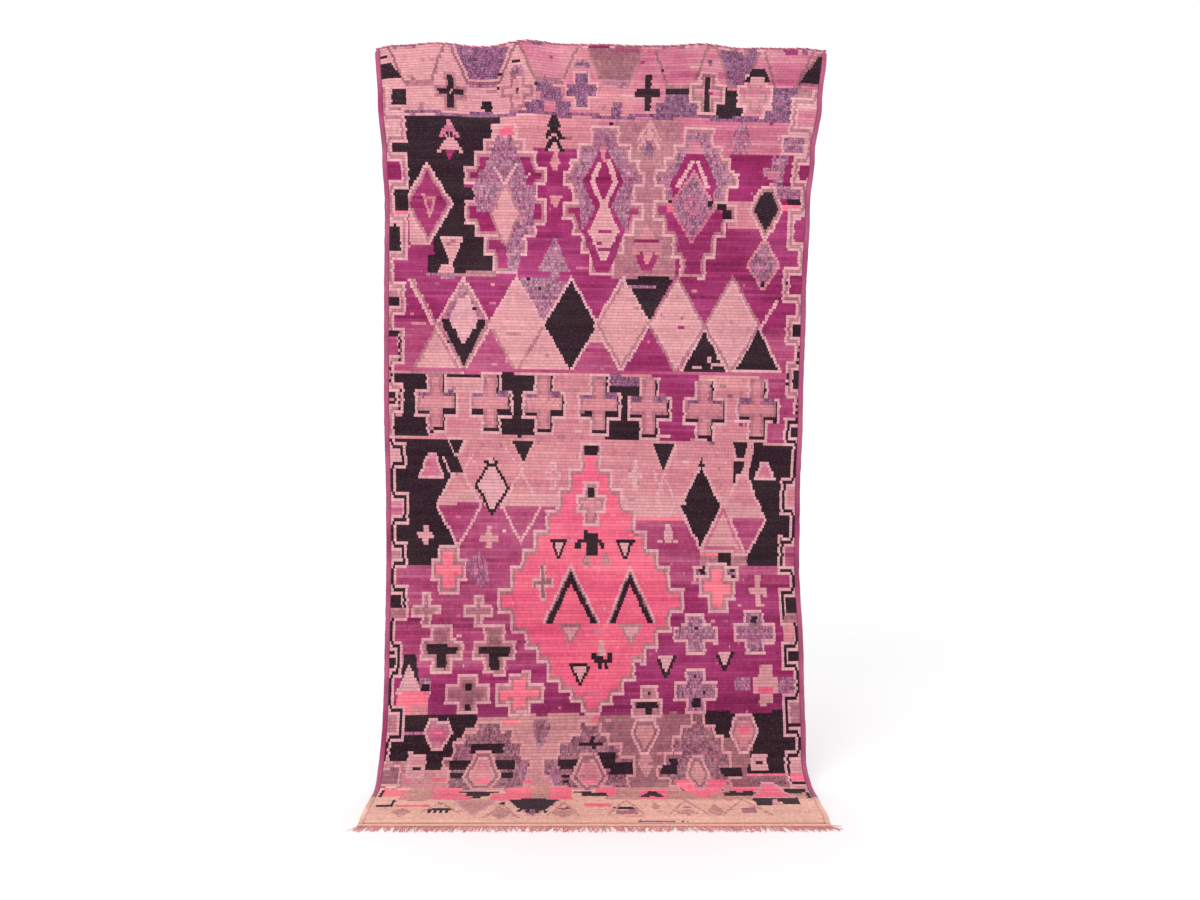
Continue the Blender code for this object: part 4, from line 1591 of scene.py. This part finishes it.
class RUG_OT_pile(bpy.types.Operator):
    """Ties the pile, a face for each knot, in the charted yarns"""

    bl_idname = "rug.pile"
    bl_label = "Knotted pile"

    def execute(self, context):
        size = sizes()
        knots = KNOTS - 2 * EDGE_KNOTS
        random = np.random.default_rng(SEED + 1)
        face, ground_face = layer_lifts()
        shape = (ROWS + 1, knots + 1)
        sway = random.normal(0.0, KNOT_SWAY, shape)
        tufts = random.normal(0.0, size.tuft_height, shape)
        sway[:, [0, -1]] = 0

        def front(column, row):
            knot = column + EDGE_KNOTS + sway[row, column]
            lift = face - size.rib_depth / 2 + tufts[row, column]
            return field_points(knot * COLUMNS / KNOTS, row, lift)

        def back(column, row):
            return field_points(column * COARSE + EDGE_COLUMNS, row, ground_face + GAP)

        coarse_knots = COARSE * KNOTS // COLUMNS
        pile = closed_sheet("rug_pile", (knots, ROWS, front), (knots // coarse_knots, ROWS, back))
        colours = knot_colours(drawn_chart())
        column, row = cell_of_faces(pile.data, knots, ROWS)
        dress_cells(pile.data, colours, column + EDGE_KNOTS, row)
        finish_piece(pile, pile_material(), "field")
        width = field_width()
        return {"FINISHED"}


def dress_cells(mesh, colours, column, row):
    """Colours the fine grid's faces by their knots, and maps them in knots and rows."""
    count = len(column)
    faces = plain_colours("peach", 0.1, len(mesh.polygons))
    faces[:count] = colours[row, column]
    set_face_colours(mesh, faces)
    totals = np.empty(len(mesh.polygons), np.int32)
    mesh.polygons.foreach_get("loop_total", totals)
    owner = np.repeat(np.arange(len(totals)), totals)
    vertex = np.empty(len(mesh.loops), np.int32)
    mesh.loops.foreach_get("vertex_index", vertex)
    places = corner_points(mesh)[vertex][:, [0, 2]] / KNOT_WIDTH
    first = owner < count
    corners_across = int(column.max() - column.min()) + 2
    number = vertex[first]
    across = number % corners_across + column.min()
    places[first] = np.stack([across, ROWS - number // corners_across], axis=1)
    set_corner_places(mesh, "weave", places)


class RUG_OT_ground(bpy.types.Operator):
    """Weaves the ground, whose back shows the pattern as flat rows of loops"""

    bl_idname = "rug.ground"
    bl_label = "Ground weave"

    def execute(self, context):
        knots = COLUMNS - 2 * EDGE_COLUMNS
        face, ground_face = layer_lifts()

        def back(column, row):
            return field_points(knots - column + EDGE_COLUMNS, row, -face)

        def front(column, row):
            return field_points(knots - column * COARSE + EDGE_COLUMNS, row, ground_face)

        ground = closed_sheet("rug_ground", (knots, ROWS, back), (knots // COARSE, ROWS, front))
        colours = knot_colours(drawn_chart())[:, ::-2]
        column, row = cell_of_faces(ground.data, knots, ROWS)
        dress_cells(ground.data, colours, column + EDGE_COLUMNS, row)
        finish_piece(ground, ground_material(), "field")
        width = field_width()
        return {"FINISHED"}


def angles_round(sides):
    return np.linspace(0, 2 * math.pi, sides, endpoint=False)[None, :]


def tube_mesh(name, tubes, colours):
    """Closed tubes with a cap at each end. tubes is (number, rings, sides, 3).

    colours has a colour and a heather amount between each two rings of each tube.
    """
    number, count, sides, _ = tubes.shape
    ring, side = np.mgrid[0 : count - 1, 0:sides]
    here = ring * sides + side
    beside = ring * sides + (side + 1) % sides
    quads = np.stack([here, beside, beside + sides, here + sides], axis=-1).reshape(-1, 4)
    caps = [list(range(sides - 1, -1, -1)), list(range((count - 1) * sides, count * sides))]
    faces = quads.tolist() + caps
    offsets = range(0, number * count * sides, count * sides)
    mesh = bpy.data.meshes.new(name)
    every_face = [[offset + corner for corner in face] for offset in offsets for face in faces]
    mesh.from_pydata(tubes.reshape(-1, 3).tolist(), [], every_face)
    around = np.repeat(colours, sides, axis=1)
    set_face_colours(mesh, np.concatenate([around, colours[:, :1], colours[:, -1:]], axis=1))
    return mesh


def mesh_piece(name, mesh):
    piece = bpy.data.objects.new(name, mesh)
    bpy.context.scene.collection.objects.link(piece)
    shape = bmesh.new()
    shape.from_mesh(mesh)
    bmesh.ops.recalc_face_normals(shape, faces=shape.faces)
    shape.to_mesh(mesh)
    shape.free()
    return piece


# The side bands: their section, the slant and depth of the wraps, and their rounded tips. Past
# PEACH_FROM down the cloth they are wound in the peach yarn.
SELVEDGE_SIDES = 10
SELVEDGE_PLUMP = 1.05
SELVEDGE_SLANT = 0.22
SELVEDGE_FLATNESS = 0.8
SELVEDGE_BULGE = 1.06
WRAP_GROOVE = 0.88
TIP_SHARE = 0.30
PEACH_FROM = 2.93
PEACH_FADE = 0.02


class RUG_OT_selvedges(bpy.types.Operator):
    """Overcasts the side edges: a band of slanting wraps of wool down each side"""

    bl_idname = "rug.selvedges"
    bl_label = "Overcast side edges"

    def execute(self, context):
        for number, (name, side) in enumerate((("selvedge_left", -1), ("selvedge_right", 1))):
            rings, colours = self.wraps(side, np.random.default_rng(SEED + 2 + number))
            piece = mesh_piece(f"rug_{name}", tube_mesh(name, rings[None], colours[None]))
            finish_piece(piece, wound_material(f"overcast wool {side}", 0.5, 420.0), name)
        return {"FINISHED"}

    def wraps(self, side, random):
        """The rings of one band, two to a wrap, and the colour between each two."""
        wraps = round(RUG_LENGTH / sizes().wrap_pitch)
        count = 2 * wraps + 1
        down = np.linspace(0.0, RUG_LENGTH, count)[:, None]
        angle = angles_round(SELVEDGE_SIDES)
        ridge_height = np.where(np.arange(count) % 2 == 1, 1.0, WRAP_GROOVE)[:, None]
        unevenness = 1 + drifting(random, count, 9, 0.035)[:, None]
        tip = np.clip(np.minimum(down, RUG_LENGTH - down) / (SELVEDGE_WIDTH / 2), 0.0, 1.0)
        rounding = TIP_SHARE + (1 - TIP_SHARE) * np.sqrt(1 - (1 - tip) ** 2)
        half = SELVEDGE_WIDTH / 2 * rounding
        flattened = np.sign(np.cos(angle)) * abs(np.cos(angle)) ** SELVEDGE_FLATNESS
        across = flattened * half * ridge_height**0.5
        outward = np.where(across * side > 0, unevenness * SELVEDGE_BULGE, 1.0)
        lift = np.sin(angle) * RUG_THICKNESS / 2 * SELVEDGE_PLUMP * ridge_height * rounding**0.5
        slant = (down + across * side * SELVEDGE_SLANT).clip(0.0, RUG_LENGTH)
        left, right = sides_at(slant)
        edge = np.where(side < 0, -left, right)
        middle = edge - side * SELVEDGE_WIDTH / 2
        lowest = np.where(down > LEVEL_FROM, -RUG_THICKNESS / 2, -1.0)
        rings = cloth_points(middle + across * outward, slant, np.maximum(lift, lowest))
        tone = 1 + drifting(random, count - 1, 26, 0.10) + random.normal(0.0, 0.05, count - 1)
        wine = np.clip(drifting(random, count - 1, 60, 0.5), 0.0, 1.0)[:, None]
        peach = np.clip((down[:-1] - PEACH_FROM) / PEACH_FADE, 0.0, 1.0)
        colours = plain_colours("side", 0.15, count - 1)
        for name, amount in (("magenta", wine), ("peach", peach)):
            colours[:, :3] = colours[:, :3] * (1 - amount) + yarn_colour(name) * amount
        colours[:, :3] *= tone[:, None]
        return rings, colours


# The head cord: its rings, how far its ends stay inside the edges, and a ply's share of its radius.
CORD_SIDES = 6
CORD_RINGS_PER_TURN = 8
CORD_INSET = 0.003
PLY_SHARE = 0.56


class RUG_OT_head_cord(bpy.types.Operator):
    """Twines two plies of wool along the top edge"""

    bl_idname = "rug.head_cord"
    bl_label = "Twined head cord"

    def execute(self, context):
        left, right = edges_at(0.0)
        turns = round((left + right) / sizes().twine_pitch)
        count = turns * CORD_RINGS_PER_TURN + 1
        x = np.linspace(-left + CORD_INSET, right - CORD_INSET, count)
        middle = cloth_points(x, 0.0, 0.0)
        middle[:, 2] -= TOP_OF_CLOTH
        plies = []
        for number, name in enumerate(("pale", "mauve")):
            random = np.random.default_rng(SEED + 5 + number)
            turn = 2 * math.pi * np.arange(count) / CORD_RINGS_PER_TURN + math.pi * number
            ply = HEAD_CORD_RADIUS * PLY_SHARE
            centre = middle.copy()
            centre[:, 1] += np.cos(turn) * (HEAD_CORD_RADIUS - ply)
            centre[:, 2] += np.sin(turn) * (HEAD_CORD_RADIUS - ply)
            angle = angles_round(CORD_SIDES)
            radius = ply * (1 + drifting(random, count, 5, 0.08))[:, None]
            rings = np.repeat(centre[:, None, :], CORD_SIDES, axis=1)
            rings[..., 1] += np.cos(angle) * radius
            rings[..., 2] += np.sin(angle) * radius
            colours = plain_colours(name, 0.6, count - 1)
            colours[:, :3] *= 1 + drifting(random, count - 1, 12, 0.22)[:, None].clip(-0.5, 0.35)
            mesh = tube_mesh(f"ply_{name}", rings[None], colours[None])
            plies.append(mesh_piece(f"ply_{name}", mesh))
        cord = join_pieces(plies)
        cord.name = "rug_head_cord"
        finish_piece(cord, wound_material("twined head wool", 0.5, 420.0), "head_cord")
        return {"FINISHED"}


# The woven strip past the pile, with its ridges and its lower edges.
STRIP_DEPTH = 0.014
STRIP_THICKNESS = 0.006
STRIP_GRID = (320, 6)
STRIP_UNEVEN = 0.0003
STRIP_RIDGE = 0.0009
STRIP_EDGE = 0.0012

# The warp ends: how they lean towards the corners and drift in groups, and how single ones differ.
STRAND_SIDES = 5
STRAND_RINGS = 8
LEAN_LEFT = 0.25
LEAN_RIGHT = 0.85
LEAN_POWER = 5
LEAN_SPREAD = 0.16
CURL_SPREAD = 0.55
LENGTH_SPREAD = (0.74, 1.08)
RADIUS_SPREAD = (0.85, 1.15)
YARN_SPACING = 0.27
ROOT_SPREAD = 0.0006
STRAND_HUMP = 0.0022
STRAND_TWIST = 9.0
Drift = namedtuple("Drift", "angle waves phase")
DRIFTS = (Drift(0.20, 4.3, 0.4), Drift(0.06, 13.7, 1.9))


def cloth_end():
    """How far forward the last row of pile lies."""
    return float(cloth_points(0.0, RUG_LENGTH, 0.0)[1])


class RUG_OT_fringe(bpy.types.Operator):
    """Weaves the narrow end strip and lays out the warp ends that leave it"""

    bl_idname = "rug.fringe"
    bl_label = "End strip and fringe"

    def execute(self, context):
        self.end_strip()
        random = np.random.default_rng(SEED + 9)
        left, right = edges_at(RUG_LENGTH)
        count = sizes().strands
        yarns = []
        for number in range(count):
            share = (2 * number + 1) / count - 1
            root = -left + (left + right) * (number + 0.5) / count
            spacing = (left + right) / count
            for place in (-1, 0, 1):
                start = root + place * spacing * YARN_SPACING
                yarns.append(self.warp_end(random, start, share))
        rings, colours = (np.array(values) for values in zip(*yarns, strict=True))
        colours = np.repeat(colours[:, None], STRAND_RINGS - 1, axis=1)
        fringe = mesh_piece("rug_fringe", tube_mesh("rug_fringe", rings, colours))
        finish_piece(fringe, wound_material("dyed warp ends", 0.5, 500.0), "fringe")
        return {"FINISHED"}

    def warp_end(self, random, root, share):
        """One yarn of a bundle: its rings, and its colour."""
        lean = (LEAN_RIGHT if share > 0 else LEAN_LEFT) * share**LEAN_POWER
        lean += sum(d.angle * math.sin(d.waves * math.pi * share + d.phase) for d in DRIFTS)
        lean += random.normal(0.0, LEAN_SPREAD)
        curl = random.normal(0.0, CURL_SPREAD)
        length = (sizes().strand_length + STRIP_DEPTH) * random.uniform(*LENGTH_SPREAD)
        radius = sizes().strand_radius * random.uniform(*RADIUS_SPREAD)
        part = np.linspace(0.0, 1.0, STRAND_RINGS)
        out = np.clip((part * length - STRIP_DEPTH * 0.6) / length, 0.0, 1.0)
        heading = lean * np.clip(out * 5, 0.0, 1.0) + curl * out**1.5
        step = length / (STRAND_RINGS - 1)
        x = root + random.normal(0.0, ROOT_SPREAD)
        middle = (heading[1:] + heading[:-1]) / 2
        x = x + np.concatenate([[0.0], np.cumsum(np.sin(middle) * step)])
        y = cloth_end() - GAP * 2 - np.concatenate([[0.0], np.cumsum(np.cos(middle) * step)])
        hump = STRIP_THICKNESS * 0.42 * (1 - out) ** 2
        hump += random.uniform(0.0, STRAND_HUMP) * np.sin(out * math.pi)
        size = radius * (1 - 0.35 * part**3)
        z = -HANG_HEIGHT + size + hump
        angle = angles_round(STRAND_SIDES) + part[:, None] * STRAND_TWIST
        across = np.cos(angle) * size[:, None]
        rings = np.empty((STRAND_RINGS, STRAND_SIDES, 3))
        rings[..., 0] = x[:, None] + across * np.cos(heading)[:, None]
        rings[..., 1] = y[:, None] + across * np.sin(heading)[:, None]
        rings[..., 2] = z[:, None] + np.sin(angle) * size[:, None]
        colour = yarn_colour("warp") * np.clip(random.normal(1.0, 0.12), 0.7, 1.3)
        return rings, [*colour, 0.15]

    def end_strip(self):
        """The flat-woven strip past the last row of pile."""
        left, right = edges_at(RUG_LENGTH)
        back = cloth_end() - GAP
        columns, rows = STRIP_GRID
        coarse = columns // 8
        random = np.random.default_rng(SEED + 8)
        unevenness = random.normal(0.0, STRIP_UNEVEN, (rows + 1, columns + 1))

        def top(column, row):
            x = -left + (left + right) * column / columns
            y = back - STRIP_DEPTH * row / rows
            ridges = np.where(row % 2 == 1, 0.0, STRIP_RIDGE)
            edge = np.where((row == 0) | (row == rows), STRIP_EDGE, 0.0)
            z = -HANG_HEIGHT + STRIP_THICKNESS - ridges - edge + unevenness[row, column]
            return np.stack([x, y, z], axis=-1)

        def bottom(column, row):
            x = -left + (left + right) * column / coarse
            y = back - STRIP_DEPTH * row
            return np.stack([x, y, np.full(x.shape, -HANG_HEIGHT)], axis=-1)

        strip = closed_sheet("rug_end_strip", (columns, rows, top), (coarse, 1, bottom))
        colours = plain_colours("peach", 0.2, len(strip.data.polygons))
        colours[:, :3] *= 1 + random.normal(0.0, 0.06, len(colours))[:, None]
        set_face_colours(strip.data, colours)
        finish_piece(strip, wound_material("end strip wool", 0.4, 300.0), "fringe")


SENSOR_WIDTH = 36.0
FLOOR_SIZE = 40.0
FLOOR_COLOUR = (0.93, 0.93, 0.93)
KEY_PLACE = (-1.6, -3.4, 1.6)
KEY_TURN = (math.radians(58), 0, -0.42)
KEY_SIZE = 2.4


class RUG_OT_stage(bpy.types.Operator):
    """Sets the camera, the pale floor and the soft light"""

    bl_idname = "rug.stage"
    bl_label = "Camera, floor and light"

    def execute(self, context):
        stage = context.scene.rug_stage
        self.camera(stage)
        self.floor()
        self.lights(stage)
        context.scene.view_settings.view_transform = "Standard"
        return {"FINISHED"}

    def camera(self, stage):
        place = (stage.sideways, -stage.distance, -HANG_HEIGHT + stage.eye_height)
        bpy.ops.object.camera_add(location=place, rotation=(math.pi / 2, 0, 0))
        camera = bpy.context.object
        camera.data.sensor_width = SENSOR_WIDTH
        camera.data.lens = stage.lens
        bpy.context.scene.camera = camera

    def floor(self):
        deselect_all()
        bpy.ops.mesh.primitive_plane_add(size=FLOOR_SIZE, location=(0, 0, -HANG_HEIGHT - GAP))
        floor = bpy.context.object
        floor.name = "floor"
        finish = Finish("white floor", 0.85, 0.0)
        cloud = finish.noise(finish.object_place(), 0.6)
        floor.data.materials.append(finish.done(finish.scaled(FLOOR_COLOUR, cloud * 0.04 + 0.98)))

    def lights(self, stage):
        world = bpy.data.worlds.new("white surroundings")
        world.use_nodes = True
        background = world.node_tree.nodes["Background"]
        background.inputs["Color"].default_value = (1, 1, 1, 1)
        background.inputs["Strength"].default_value = stage.surround
        bpy.context.scene.world = world
        bpy.ops.object.light_add(type="AREA", location=KEY_PLACE, rotation=KEY_TURN)
        key = bpy.context.object
        key.data.size = KEY_SIZE
        key.data.energy = stage.key_power


class RUG_PT_panel(bpy.types.Panel):
    """Lists the rug's pieces, sizes and yarns"""

    bl_idname = "RUG_PT_panel"
    bl_label = "Hung rug"
    bl_space_type = "VIEW_3D"
    bl_region_type = "UI"
    bl_category = "Rug"

    def draw(self, context):
        for made in OPERATORS:
            self.layout.operator(made.bl_idname)
        for name, group in GROUPS.items():
            for key in group.__annotations__:
                self.layout.prop(getattr(context.scene, name), key)


OPERATORS = (
    RUG_OT_pile,
    RUG_OT_ground,
    RUG_OT_selvedges,
    RUG_OT_head_cord,
    RUG_OT_fringe,
    RUG_OT_stage,
)
GROUPS = {"rug_sizes": RugSizes, "rug_yarns": RugYarns, "rug_stage": RugStage}


def register():
    for kind in (*GROUPS.values(), *OPERATORS, RUG_PT_panel):
        bpy.utils.register_class(kind)
    for name, group in GROUPS.items():
        setattr(bpy.types.Scene, name, PointerProperty(type=group))


def unregister():
    for name in GROUPS:
        delattr(bpy.types.Scene, name)
    for kind in reversed((*GROUPS.values(), *OPERATORS, RUG_PT_panel)):
        bpy.utils.unregister_class(kind)


def main():
    register()
    bpy.ops.rug.pile()
    bpy.ops.rug.ground()
    bpy.ops.rug.selvedges()
    bpy.ops.rug.head_cord()
    bpy.ops.rug.fringe()
    bpy.ops.rug.stage()


if __name__ == "__main__":
    main()
